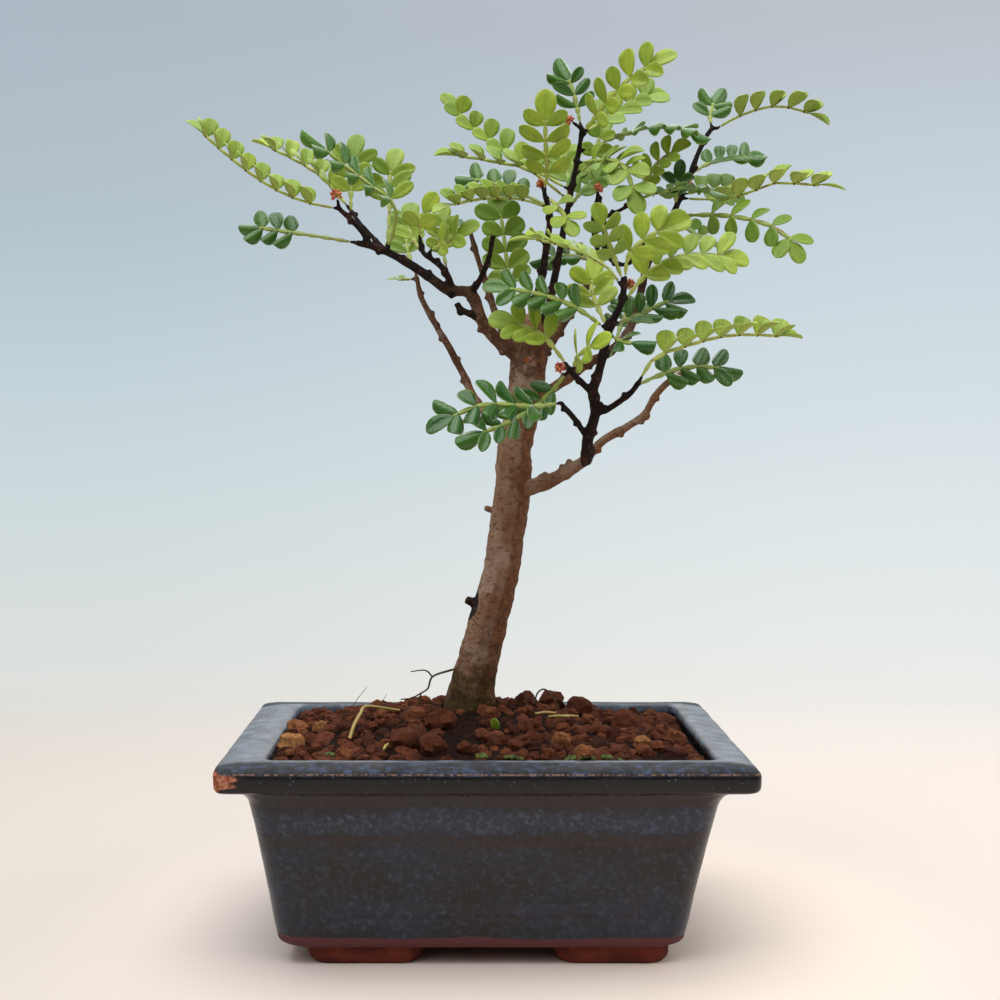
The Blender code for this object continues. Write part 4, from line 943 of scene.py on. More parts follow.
def makeFrond(record, age, vary, branches, parts, chance):
    places, pairs, tilt, fold, bare, size = record
    line = frondLine(places, branches)
    shape = frondShape
    total = (line[1] - line[0]).length * (len(line) - 1)
    first = max(bare * total, 2 * shape["root"])
    last = total - size - shape["root"]
    spacing = (last - first) / max(pairs - 1, 1)
    sweep, twist = math.radians(shape["sweep"]), math.radians(shape["twist"])
    folds = [math.radians(fold + chance.uniform(-6, 6)) for side in (0, 1)]
    aged = age > youngUpTo
    tone = (age - youngUpTo) / (1 - youngUpTo) if aged else age / youngUpTo
    fullWidth = shape["oldWidth" if aged else "width"] * size
    width = min(fullWidth, shape["oldCrowding" if aged else "crowding"] * spacing) if pairs > 1 else fullWidth
    leafMade = parts["leaves"][aged]
    made = []

    def addLeaf(root, along, across, upper, length, wide):
        wide *= vary.uniform(0.9, 1.06)
        leaf = copyOf(leafMade[vary.randrange(len(leafMade))],
                      standOn(root, across, along, upper, (wide, length, length)))
        paintWhole(leaf, "tone", min(1.0, max(0.0, tone + vary.uniform(-0.22, 0.22))))
        made.append(leaf)

    def addLength(start, end, wide):
        way = end - start
        along = way.normalized()
        upper, left = bladeSides(along, tilt)
        made.append(copyOf(parts["wing"], standOn(start - along * 0.12, -left, along, upper,
                                                  (wide, way.length + 0.24, 1.0))))
        paintWhole(made[-1], "tone", tone if not aged else 0.6 + 0.4 * tone)

    joints = [first + spacing * pair for pair in range(pairs)] + [last + shape["root"]]
    bareSteps = max(2, round(first / 5.0))
    stops = [first * step / bareSteps for step in range(bareSteps)] + joints
    for index, (start, end) in enumerate(zip(stops, stops[1:])):
        wide = 0.72 if index < bareSteps - 1 else 1.08 - 0.36 * index / len(stops)
        addLength(pointAlong(line, start)[0], pointAlong(line, end)[0], wide)
    for pair in range(pairs):
        station = first + spacing * pair
        centre = pointAlong(line, station)[0]
        direction = pointAlong(line, station + shape["root"] / 2)[1]
        upper, left = bladeSides(direction, tilt)
        made.append(copyOf(parts["joint"], standOn(centre - upper * 0.12, -left, direction, upper,
                                                   (1.0, 1.0, 1.0))))
        for side in (0, 1):
            lift = folds[side] + math.radians(chance.uniform(-1, 1))
            turned = sweep + math.radians(chance.uniform(-1, 1))
            length = (size * chance.uniform(0.92, 1.04) * vary.uniform(0.84, 1.06)
                      * shape["oldLength" if aged else "youngLength"])
            outside = left * (1 - 2 * side)
            outward = outside * math.cos(lift) + upper * math.sin(lift)
            top = upper * math.cos(lift) - outside * math.sin(lift)
            along = direction * math.cos(turned) + outward * math.sin(turned)
            flat = direction * math.sin(turned) - outward * math.cos(turned)
            across = flat * math.cos(twist) + top * math.sin(twist)
            if side:
                across = -across
            addLeaf(centre + outside * 0.35, along, across, across.cross(along), length, width)
    centre, direction = pointAlong(line, last + shape["root"])
    upper, left = bladeSides(direction, tilt)
    addLeaf(centre, direction, -left, upper, size * 0.98, fullWidth)
    return made


oldNodes = {f"{group}{number}" for group, numbers in {
    "left": (2, 4), "centre": (4,), "top": (1, 4), "right": (2, 3, 6, 7, 8), "front": (3, 5, 6, 7, 8, 11),
    "back": (1, 5, 6)}.items() for number in numbers}


def makeFronds(branches):
    young, old = makeLeafMaterials()
    wing, joint = modelWing(), modelJoint()
    setMaterial(wing, stalkMaterial())
    setMaterial(joint, jointMaterial())
    for piece in (wing, joint):
        paintWhole(piece, "under", 0.0)
    paintWhole(joint, "tone", 0.5)
    youngLeaves = [modelLeaflet("youngFlat", 0.05, 0.02, 0.05), modelLeaflet("youngCupped", 0.22, 0.05, -0.08),
                   modelLeaflet("youngDrooping", 0.1, 0.12, 0.1)]
    oldLeaves = [modelLeaflet("oldArched", -0.2, 0.06, 0.08), modelLeaflet("oldCurled", -0.32, 0.1, -0.1),
                 modelLeaflet("oldFlat", 0.12, 0.08, 0.05)]
    for leaf in youngLeaves:
        setMaterial(leaf, young)
    for leaf in oldLeaves:
        setMaterial(leaf, old)
    parts = {"wing": wing, "joint": joint, "leaves": {False: youngLeaves, True: oldLeaves}}
    count = 0
    for group, records in frondLines.items():
        for number, record in enumerate(records, 1):
            made = makeFrond(record, frondAges[group][number - 1], random.Random(f"{group}{number}"), branches,
                             parts, random.Random(100 * number + count))
            frond = joinAll(f"leaflets_{group}_{number}", made)
            dress(frond, "old_leaf" if group + str(number) in oldNodes else "young_leaf", f"frond_{group}_{number}")
            count += 1
    made = []
    for number, record in enumerate(sprigLines):
        made += makeFrond(record[:6], record[6], random.Random(number), branches, parts,
                          random.Random(900 + number))
    dress(joinAll("sprigs", made), "young_leaf")
    selectOnly(wing, joint, *youngLeaves, *oldLeaves)
    bpy.ops.object.delete()


budLook = {"buds": 14, "radius": 0.6, "spread": 0.74, "reach": 1.55, "turn": 2.4}     # turn in radians a bud


def budMaterial():
    material, tree, shader = newMaterial("budRed", Roughness=0.5, Subsurface_Weight=0.2, Subsurface_Scale=0.001)
    place = objectPlace(tree)
    red = patches(tree, place, 0.0016, 2.0, 0.42, 0.62, colour(196, 104, 62), colour(146, 54, 36))
    mixed = patches(tree, place, 0.0024, 2.0, 0.52, 0.66, red, colour(176, 152, 74))
    tree.links.new(mixed, shader.inputs["Base Color"])
    addBump(tree, shader, grainHeight(tree, place, 0.0006, 0.3), 0.3, 0.0002)
    return material


def makeBuds(branches):      # each head is a bunch of small egg-shaped buds that point outwards
    bpy.ops.mesh.primitive_uv_sphere_add(segments=10, ring_count=7, radius=1.0)
    bud = bpy.context.object
    selectVerts(bud, lambda co: co.z > 0.6)
    bpy.ops.transform.resize(value=(0.8, 0.8, 1.15), center_override=(0, 0, 0.5))
    bpy.ops.object.mode_set(mode="OBJECT")
    bpy.ops.object.shade_smooth()
    setMaterial(bud, budMaterial())
    for name, (across, up, depth, radius) in budPlaces.items():
        chance = random.Random(name)
        centre = treePlace(across, up, depth)
        outward = (centre - branches.nearest(centre)[0]).normalized()
        made = []
        for number in range(budLook["buds"]):
            height = 1 - budLook["reach"] * number / (budLook["buds"] - 1)
            turn = number * budLook["turn"]
            flat = math.sqrt(max(0.0, 1 - height * height))
            way = Vector((math.cos(turn) * flat, math.sin(turn) * flat, height))
            way.rotate(Vector((0, 0, 1)).rotation_difference(outward))
            size = budLook["radius"] * chance.uniform(0.75, 1.1) * radius / 1.8
            place = (centre + way * radius * budLook["spread"] * chance.uniform(0.75, 1.0)) * mm
            turned = Vector((0, 0, 1)).rotation_difference(way).to_matrix().to_4x4()
            made.append(copyOf(bud, Matrix.Translation(place) @ turned
                               @ Matrix.Diagonal((size * mm, size * mm, size * 1.25 * mm, 1))))
        head = joinAll(name.replace("bud_", "buds_"), made)
        dress(head, "buds", name)
    selectOnly(bud)
    bpy.ops.object.delete()


print("wood")
branches = readBranches()
makeWood(branches)
print("fronds")
makeFronds(branches)
print("buds")
makeBuds(branches)


potShape = {
    # half width, half depth and height, up the outside
    "outside": [(55.6, 39.6, 5.0), (57.7, 41.2, 6.2), (58.7, 41.9, 8.6), (59.8, 42.9, 14.0), (60.8, 44.0, 20.0),
                (61.9, 45.2, 26.0), (63.1, 46.3, 32.0), (64.3, 47.3, 38.0), (65.5, 48.3, 43.5), (66.5, 49.1, 47.2),
                (67.8, 49.9, 49.8), (70.4, 51.2, 50.9), (73.4, 53.0, 51.3), (75.2, 54.5, 52.0), (75.7, 54.9, 53.4),
                (75.8, 54.95, 56.0), (75.6, 54.75, 57.0), (74.8, 54.0, 57.7), (72.0, 51.5, 58.4),
                (68.0, 48.0, 58.9)],
    "inside": [(64.8, 44.8, 59.0), (63.9, 43.9, 58.8), (63.3, 43.3, 58.2), (62.8, 42.8, 55.0), (57.6, 39.6, 33.0),
               (52.5, 36.0, 10.5)],
    "corner": 7.0, "cornerSteps": 10, "wallStep": 0.95, "sideCuts": (140, 60),
    "bodyCorner": 7.5, "rimCorner": 3.0, "insideCorner": 3.4,
    # the hand-made pot is a little out of true
    "outerShift": -0.9, "bodyShift": -0.4, "footShift": -0.8, "innerShift": 0.7,
    "backRise": 1.3,
    "panel": (42.0, 12.0, 26.0, 5.0), "panelDepth": 0.7, "panelSlope": 2.6,
    "innerPanel": (38.6, 9.0, 26.0, 4.0), "innerDepth": 0.3,
    "foot": (16.5, 8.5, 6.5), "footTaper": 1.5, "footCorner": 5.0, "footPlace": (35.2, 31.0),
    "drainRadius": 6.0, "drainPlace": 28.0,
}


# a rounded rectangle lying flat, with its long sides cut into many short edges
def roundedStart(halfX, halfY, height, corner, steps, cuts):
    bpy.ops.mesh.primitive_plane_add(size=2, location=(0, 0, 0))
    body = bpy.context.object
    body.scale = (halfX * mm, halfY * mm, 1)
    body.location.z = height * mm
    applyPlace(body)
    selectVerts(body, lambda co: True)
    bpy.ops.mesh.bevel(offset=corner * mm, offset_type="OFFSET", segments=steps, profile=0.5, affect="VERTICES")
    for axis, count in enumerate(cuts):
        if count:
            bpy.ops.mesh.select_all(action="DESELECT")
            bpy.ops.object.mode_set(mode="OBJECT")
            for edge in body.data.edges:
                ends = [body.data.vertices[index].co for index in edge.vertices]
                edge.select = abs(ends[0][axis] - ends[1][axis]) > (halfX, halfY)[axis] * mm
            bpy.ops.object.mode_set(mode="EDIT")
            bpy.ops.mesh.select_mode(type="EDGE")
            bpy.ops.mesh.subdivide(number_cuts=count)
    bpy.ops.mesh.select_mode(type="VERT")
    bpy.ops.mesh.select_all(action="SELECT")
    return body


def climb(stations):      # extrude the selected cap through stations of half width, half depth and height
    for (oldX, oldY, oldZ), (newX, newY, newZ) in zip(stations, stations[1:]):
        bpy.ops.mesh.extrude_region_move(TRANSFORM_OT_translate={"value": (0, 0, (newZ - oldZ) * mm)})
        bpy.ops.transform.resize(value=(newX / oldX, newY / oldY, 1), center_override=(0, 0, newZ * mm))


def spread(stations, step):      # more stations along the same smooth profile
    line = smoothLine([Vector(station) for station in stations], step)
    return [tuple(point) for point in line]


def roundedDistance(x, z, panel):      # how far a place is outside a rounded rectangle, or negative inside it
    halfX, halfZ, middle, corner = panel
    outX, outZ = abs(x) - (halfX - corner), abs(z - middle) - (halfZ - corner)
    return math.hypot(max(outX, 0), max(outZ, 0)) + min(max(outX, outZ), 0) - corner


def easeIn(distance, slope):      # 0 outside, 1 inside, over a slope in mm
    share = min(1.0, max(0.0, 0.5 - distance / slope))
    return share * share * (3 - 2 * share)


def shapeCorners(pot):      # give each ring its own corner radius: round on the body and tight on the rim
    rings = {}
    for vert in pot.data.vertices:
        rings.setdefault(round(vert.co.z / mm, 3), []).append(vert)
    startX, startY = potShape["outside"][0][:2]
    corner = potShape["corner"]
    insideHeights = {round(station[2], 3) for station in potShape["inside"]}
    for height, members in rings.items():
        halfX = max(abs(vert.co.x) for vert in members) / mm
        halfY = max(abs(vert.co.y) for vert in members) / mm
        rimShare = min(1.0, max(0.0, (height - 48.0) / 3.5))
        wanted = potShape["bodyCorner"] + (potShape["rimCorner"] - potShape["bodyCorner"]) * rimShare
        if height in insideHeights:
            wanted = potShape["insideCorner"]
        for vert in members:
            overX = abs(vert.co.x) / mm * startX / halfX - (startX - corner)
            overY = abs(vert.co.y) / mm * startY / halfY - (startY - corner)
            if overX > 0.001 and overY > 0.001:
                angle = math.atan2(overY, overX)
                vert.co.x = math.copysign((halfX - wanted + wanted * math.cos(angle)) * mm, vert.co.x)
                vert.co.y = math.copysign((halfY - wanted + wanted * math.sin(angle)) * mm, vert.co.y)
    pot.data.update()


# sink the panels, let the glaze run uneven, knock the corner off, and note where the glaze is thin
def shapeWalls(pot):
    mesh = pot.data
    thin, edges, places = [], [], []
    for vert in mesh.vertices:
        place = vert.co / mm
        outer = vert.normal
        thinness = 0.0
        isWall = (abs(place.y) > 36 and abs(place.x) < 58 and 8 < place.z < 46 and outer.y * place.y > 0
                  and abs(outer.y) > 0.7)
        if isWall:
            wobble = noise.noise(Vector((place.x / 9, place.z / 6, place.y))) * 0.25
            out = roundedDistance(place.x, place.z, potShape["panel"]) + wobble
            inner = roundedDistance(place.x, place.z, potShape["innerPanel"]) + wobble
            sink = (potShape["panelDepth"] * easeIn(out + 0.45, potShape["panelSlope"])
                    + potShape["innerDepth"] * easeIn(inner, 1.0))
            place.y -= math.copysign(sink, place.y)
            patch = 0.5 + 0.9 * noise.noise(place / 14)
            thinness = patch * max(0.8 * math.exp(-((out + 0.2) / 1.2) ** 2),
                                   0.7 * math.exp(-((inner - 0.3) / 0.7) ** 2))
        if outer.z > -0.5 and place.z > 6:
            place += outer * (noise.noise(place / 11) * 0.14 - 0.12 + noise.noise(place / 4) * 0.04)
        # the rim's top edge line, for its worn glaze and painted highlight
        edge = (math.exp(-((place.z - 57.0) / 0.26) ** 2)
                if max(abs(place.x) / 75.8, abs(place.y) / 55) > 0.975 else 0.0)
        cove = math.exp(-((place.z - 48.6) / 1.8) ** 2) * 0.5
        within = max(abs(place.x) / 63.6, abs(place.y) / 43.6)
        inner = math.exp(-((place.z - 58.7) / 0.4) ** 2) * 0.5 if within < 1.03 and place.z > 57 else 0.0
        chip = Vector((place.x + 75.8, place.y + 54.0, (place.z - 54.6) * 0.78)).length
        knocked = easeIn(chip - 3.0 + noise.noise(place / 1.3) * 0.7, 1.0)
        place -= outer * knocked * (0.6 + 0.35 * noise.noise(place / 0.9))
        if within < 1.035 and outer.z > -0.5 and place.z > 9 and outer.x * place.x <= 0:
            place.x += potShape["innerShift"]
        else:
            below, low = min(1.0, max(0.0, (52.0 - place.z) / 6)), max(0.0, (48.0 - place.z) / 40)
            place.x += potShape["outerShift"] + potShape["bodyShift"] * below + potShape["footShift"] * low
        place.z += potShape["backRise"] * min(1.0, max(0.0, (place.z - 40.0) / 12.0)) * (place.y / 110 + 0.5)
        places.append(place * mm)
        thin.append(max(thinness, cove, inner) - 3.0 * knocked)
        edges.append(edge)
    mesh.vertices.foreach_set("co", [value for co in places for value in co])
    for name, values in (("thin", thin), ("edge", edges)):
        layer = mesh.attributes.new(name, "FLOAT", "POINT")
        layer.data.foreach_set("value", values)
    mesh.update()


def makeFoot(across, depth):
    halfX, halfY, top = potShape["foot"]
    taper = potShape["footTaper"]
    foot = roundedStart(halfX - taper, halfY - taper, 0.0, potShape["footCorner"], 6, (0, 0))
    climb([(halfX - taper, halfY - taper, 0.0), (halfX - 0.4, halfY - 0.4, 1.2), (halfX, halfY, 2.5),
           (halfX, halfY, top)])
    bpy.ops.mesh.select_all(action="SELECT")
    bpy.ops.mesh.normals_make_consistent(inside=False)
    bpy.ops.object.mode_set(mode="OBJECT")
    foot.location = (across * potShape["footPlace"][0] * mm, depth * potShape["footPlace"][1] * mm, 0)
    applyPlace(foot)
    paintWhole(foot, "thin", -3.0)
    paintWhole(foot, "edge", 0.0)
    return foot


def cutDrains(pot):
    for side in (-1, 1):
        bpy.ops.mesh.primitive_cylinder_add(vertices=40, radius=potShape["drainRadius"] * mm, depth=0.02,
                                            location=(side * potShape["drainPlace"] * mm, 0, 0.008))
        drill = bpy.context.object
        applyPlace(drill)
        applyModifier(pot, "BOOLEAN", operation="DIFFERENCE", solver="EXACT", object=drill)
        selectOnly(drill)
        bpy.ops.object.delete()


def glazeMaterial():
    look = {"navy": colour(28, 25, 25), "blue": colour(33, 36, 50), "light": colour(96, 108, 136),
            "brown": colour(48, 32, 26), "band": colour(92, 50, 50), "clay": colour(80, 22, 9),
            "clayPale": colour(106, 40, 20), "chip": colour(190, 126, 98), "rust": colour(130, 60, 34),
            "black": colour(13, 11, 12), "rimDark": colour(58, 68, 80), "rimPale": colour(102, 118, 134),
            "reflectedRoomDark": colour(12, 12, 17), "mottleAndGlintBlue": colour(48, 62, 92), "backTeal": colour(22, 40, 44),
            "edgeDark": colour(38, 24, 22), "edgePale": colour(146, 112, 92)}
    material, tree, shader = newMaterial("blueGlaze", Specular_IOR_Level=0.36)
    place = objectPlace(tree)
    split = addNode(tree, "ShaderNodeSeparateXYZ", {0: place})
    thin = attribute(tree, "thin")
    lying = addNode(tree, "ShaderNodeMapping", {"Vector": place, "Scale": (0.45, 0.45, 1.0)}).outputs[0]
    wide = patches(tree, lying, 0.02, 3.0, 0.36, 0.68, look["navy"], look["blue"])
    fine = patchMask(tree, place, 0.0016, 6.0, 0.46, 0.8)
    hazy = mixColour(tree, times(tree, fine, 0.3), wide, look["light"])
    dots = speckMask(tree, place, 0.0009, 0.28, 0.3)
    # brown runs under the rim and along the panel's top, with a blue speckled band between them
    cloud = addNode(tree, "ShaderNodeTexNoise", {"Vector": lying, "Scale": 60.0, "Detail": 3.0}).outputs[0]
    run = plus(tree, split.outputs[2], times(tree, minus(tree, cloud, 0.5), 0.006))
    blueBand = times(tree, ramp(tree, run, 0.0385, 0.0415), ramp(tree, run, 0.0465, 0.0435))
    brownBand = plus(tree, times(tree, ramp(tree, run, 0.0345, 0.0368), ramp(tree, run, 0.0395, 0.0375)),
                     times(tree, ramp(tree, run, 0.0455, 0.0475), ramp(tree, run, 0.0525, 0.0505)))
    runs = mixColour(tree, times(tree, brownBand, 0.6), hazy, look["brown"])
    runs = mixColour(tree, times(tree, blueBand, plus(tree, times(tree, fine, 0.45), 0.08)), runs, look["light"])
    dotted = mixColour(tree, times(tree, dots, plus(tree, times(tree, blueBand, 0.25), 0.2)), runs, look["light"])
    rimFace = times(tree, ramp(tree, split.outputs[2], 0.0512, 0.0522), 0.97)
    dotted = mixColour(tree, rimFace, dotted, mixColour(tree, times(tree, dots, 0.4), look["black"], look["light"]))
    # the rim's flat top is paler and thickly speckled, partly its own glaze and partly painted reflection of the
    # bright backdrop; its front strip is painted dark instead, a painted reflection of the dark room in front
    front = ramp(tree, split.outputs[1], -0.0485, -0.0445)
    top = times(tree, ramp(tree, split.outputs[2], 0.0572, 0.0584), front)
    rimTopGlazeAndReflection = patches(tree, place, 0.006, 6.0, 0.36, 0.66, look["rimDark"], look["rimPale"])
    body = mixColour(tree, times(tree, top, 0.85), dotted, rimTopGlazeAndReflection)
    # painted reflection: the front strip of the rim top is painted near-black with blue mottles, standing in for the
    # dark room it mirrors and its speckled highlights
    frontTop = times(tree, ramp(tree, split.outputs[2], 0.0562, 0.0568), minus(tree, 1.0, front))
    frontReflectionAndMottle = patches(tree, place, 0.0028, 6.0, 0.46, 0.7, look["reflectedRoomDark"], look["mottleAndGlintBlue"])
    body = mixColour(tree, frontTop, body, frontReflectionAndMottle)
    backTop = times(tree, ramp(tree, split.outputs[1], 0.044, 0.0455), ramp(tree, split.outputs[2], 0.0562, 0.0572))
    body = mixColour(tree, times(tree, backTop, 0.9), body, look["backTeal"])
    dull = maths(tree, "MAXIMUM", frontTop, backTop)
    worn = patchMask(tree, place, 0.0009, 5.0, 0.46, 0.56)
    # along the rim's top edge a pale line: partly worn glaze, partly a painted highlight where the edge catches the
    # light
    edge = attribute(tree, "edge")
    body = mixColour(tree, ramp(tree, thin, 0.15, 0.85, 0.0, 0.7), body, look["brown"])
    body = mixColour(tree, ramp(tree, edge, 0.45, 0.95, 0.0, 0.75), body,
                     mixColour(tree, worn, look["edgeDark"], look["edgePale"]))
    # bare clay below the glaze, with a mauve band where the glaze ends
    wave = addNode(tree, "ShaderNodeTexNoise", {"Vector": place, "Scale": 45.0, "Detail": 2.0}).outputs[0]
    level = plus(tree, split.outputs[2], times(tree, minus(tree, wave, 0.5), 0.0024))
    bandMask = ramp(tree, level, 0.0084, 0.0079)
    clayMask = ramp(tree, level, 0.0054, 0.0046)
    clay = patches(tree, place, 0.006, 5.0, 0.4, 0.65, look["clay"], look["clayPale"])
    lower = mixColour(tree, clayMask, look["band"], clay)
    body = mixColour(tree, bandMask, body, lower)
    chipMask = ramp(tree, thin, -0.5, -1.2)
    chipColour = patches(tree, place, 0.0016, 5.0, 0.4, 0.6, look["chip"], look["rust"])
    clayHere = times(tree, chipMask, ramp(tree, split.outputs[2], 0.02, 0.03))
    body = mixColour(tree, clayHere, body, chipColour)
    tree.links.new(body, shader.inputs["Base Color"])
    bare = maths(tree, "MAXIMUM", bandMask, chipMask)
    patchy = patchMask(tree, place, 0.009, 5.0, 0.4, 0.66)
    glossy = plus(tree, times(tree, patchy, 0.14), 0.22)
    glossy = plus(tree, glossy, times(tree, dull, 0.42))
    rough = addNode(tree, "ShaderNodeMix", {0: bare, 2: glossy, 3: 0.85}, data_type="FLOAT").outputs[0]
    tree.links.new(rough, shader.inputs["Roughness"])
    relief = grainHeight(tree, place, 0.0025, 0.25)
    addBump(tree, shader, plus(tree, relief, times(tree, dots, 0.2)), 0.16, 0.0003)
    return material


def makePot():
    shape = potShape
    outside = shape["outside"]
    halfX, halfY, height = outside[0]
    pot = roundedStart(halfX, halfY, height, shape["corner"], shape["cornerSteps"], shape["sideCuts"])
    climb(spread(outside, shape["wallStep"]) + shape["inside"])
    bpy.ops.mesh.select_all(action="SELECT")
    bpy.ops.mesh.normals_make_consistent(inside=False)
    bpy.ops.object.mode_set(mode="OBJECT")
    shapeCorners(pot)
    shapeWalls(pot)
    cutDrains(pot)
    feet = [makeFoot(across, depth) for across in (-1, 1) for depth in (-1, 1)]
    pot = joinAll("glazed_pot", [pot] + feet)
    pot.location.x = potMiddle * mm
    applyPlace(pot)
    smoothShade(pot, 40)
    setMaterial(pot, glazeMaterial())
    dress(pot, "glazed_pot", "pot")


print("pot")
makePot()


def makeNets():      # a square of black plastic net over each drain hole
    material, tree, shader = newMaterial("netPlastic", Roughness=0.55)
    worn = placeGroup(tree, mottle, {"Place": objectPlace(tree), "Size": 0.003, "Detail": 3.0, "From": 0.4,
                                     "To": 0.7, "Under": colour(24, 24, 24), "Over": colour(52, 44, 38)})
    tree.links.new(worn.outputs["Colour"], shader.inputs["Base Color"])
    addBump(tree, shader, worn.outputs["Mask"], 0.2, 0.0002)
    for node, side in (("drain_net_left", -1), ("drain_net_right", 1)):
        low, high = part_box(node)
        middle = (low + high) / 2
        bpy.ops.mesh.primitive_grid_add(x_subdivisions=9, y_subdivisions=9, size=1, location=middle)
        net = bpy.context.object
        net.scale = ((high.x - low.x) * 0.96, (high.y - low.y) * 0.96, 1)
        applyPlace(net)
        applyModifier(net, "WIREFRAME", thickness=(high.z - low.z) * 0.9, use_boundary=True, use_even_offset=True)
        net.name = "net_left" if side < 0 else "net_right"
        smoothShade(net, 30)
        setMaterial(net, material)
        dress(net, "drain_net", node)


print("drain nets")
makeNets()


soilLook = {
    "spacing": 4.7, "smallest": 1.7, "largest": 3.9, "sink": 0.3, "second": 130,
    "reach": (60.6, 40.6),
    # thinner places: x, y, half x, half y, share left out
    "bare": [(-11.5, -20.0, 7.5, 20.0, 0.75), (51.5, -35.0, 7.0, 7.0, 0.8), (-60.0, 8.0, 6.0, 10.0, 0.5)],
    # the pale granules: x, y, radius, how pale
    "pale": [(-64.0, -19.0, 4.3, 1.0), (-62.0, 4.0, 3.4, 0.55), (-57.5, -2.0, 2.6, 0.3), (-52.0, 4.0, 2.6, 0.7),
             (-32.0, 8.0, 2.6, 0.55), (21.5, -26.0, 3.4, 0.5), (27.0, -38.0, 3.0, 0.35), (46.0, -18.0, 2.6, 0.75),
             (-41.0, -35.0, 3.0, 0.2), (-22.0, -5.0, 3.6, 0.12), (22.0, 33.0, 5.2, -0.5), (31.0, 28.0, 4.6, -0.55),
             (13.0, 20.0, 4.2, -0.6), (44.0, 10.0, 4.6, -0.35), (-14.0, -12.0, 5.0, -0.35),
             (-24.0, -28.0, 4.8, -0.45), (-16.0, -33.0, 4.2, -0.55), (57.0, -8.0, 4.0, 0.1)],
}


def granuleMaterial():
    look = {"dark": colour(70, 36, 24), "red": colour(126, 70, 46), "tan": colour(160, 100, 62),
            "pale": colour(206, 146, 90)}
    material, tree, shader = newMaterial("firedGranules", Roughness=0.95, Specular_IOR_Level=0.15)
    place = objectPlace(tree)
    tone = attribute(tree, "tone")
    lower = mixColour(tree, ramp(tree, tone, 0.0, 0.45), look["dark"], look["red"])
    upper = mixColour(tree, ramp(tree, tone, 0.7, 1.0), look["tan"], look["pale"])
    base = mixColour(tree, ramp(tree, tone, 0.45, 0.72), lower, upper)
    patchy = patches(tree, place, 0.0022, 6.0, 0.44, 0.66, base, mixColour(tree, 0.6, base, look["dark"]))
    dust = speckMask(tree, place, 0.0008, 0.34, 0.3)
    pores = speckMask(tree, place, 0.0007, 0.36, 0.35)
    dusty = mixColour(tree, times(tree, dust, 0.3), patchy, look["tan"])
    porous = mixColour(tree, times(tree, pores, 0.5), dusty, mixColour(tree, 0.5, look["dark"], colour(20, 10, 6)))
    tree.links.new(porous, shader.inputs["Base Color"])
    rough = grainHeight(tree, place, 0.0009, 0.6)
    addBump(tree, shader, minus(tree, rough, times(tree, pores, 0.5)), 1.0, 0.0008)
    return material


def bedMaterial():
    material, tree, shader = newMaterial("soilBed", Roughness=0.98, Specular_IOR_Level=0.1)
    place = objectPlace(tree)
    # the bed is painted near-black: partly real dark humus, partly painted shade for the deep gaps between the
    # granules
    base = patches(tree, place, 0.002, 6.0, 0.42, 0.62, colour(22, 12, 7), colour(48, 25, 15))
    grit = speckMask(tree, place, 0.0012, 0.34, 0.35)
    gritty = mixColour(tree, times(tree, grit, 0.5), base, colour(92, 46, 26))
    tree.links.new(gritty, shader.inputs["Base Color"])
    addBump(tree, shader, grainHeight(tree, place, 0.0016, 0.6), 1.0, 0.001)
    return material


def modelGranules():      # lumps of broken clay: a cube cut up with random offsets, then knocked out of square
    made = []
    for seed in range(7):
        bpy.ops.mesh.primitive_cube_add(size=1.5)
        lump = bpy.context.object
        selectVerts(lump, lambda co: True)
        bpy.ops.mesh.subdivide(number_cuts=3, smoothness=0.7, fractal=2.6, fractal_along_normal=0.5,
                               seed=seed * 7 + 1)
        bpy.ops.transform.resize(value=(1.0, 0.82 + 0.05 * (seed % 3), 0.74 + 0.06 * (seed % 4)),
                                 center_override=(0, 0, 0))
        bpy.ops.object.mode_set(mode="OBJECT")
        reach = max(vert.co.length for vert in lump.data.vertices)
        for vert in lump.data.vertices:
            vert.co = vert.co / reach * 1.18
        smoothShade(lump, 36)
        made.append(lump)
    return made


def soilTop():      # height of the packed soil under a place, by a ray from above
    tree = BVHTree.FromObject(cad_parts["soil"], bpy.context.evaluated_depsgraph_get())

    def height(x, y):
        hit = tree.ray_cast(Vector(((x + potMiddle) * mm, y * mm, 0.2)), Vector((0, 0, -1)))[0]
        return hit.z / mm if hit and hit.z > 0.05 else None
    return height


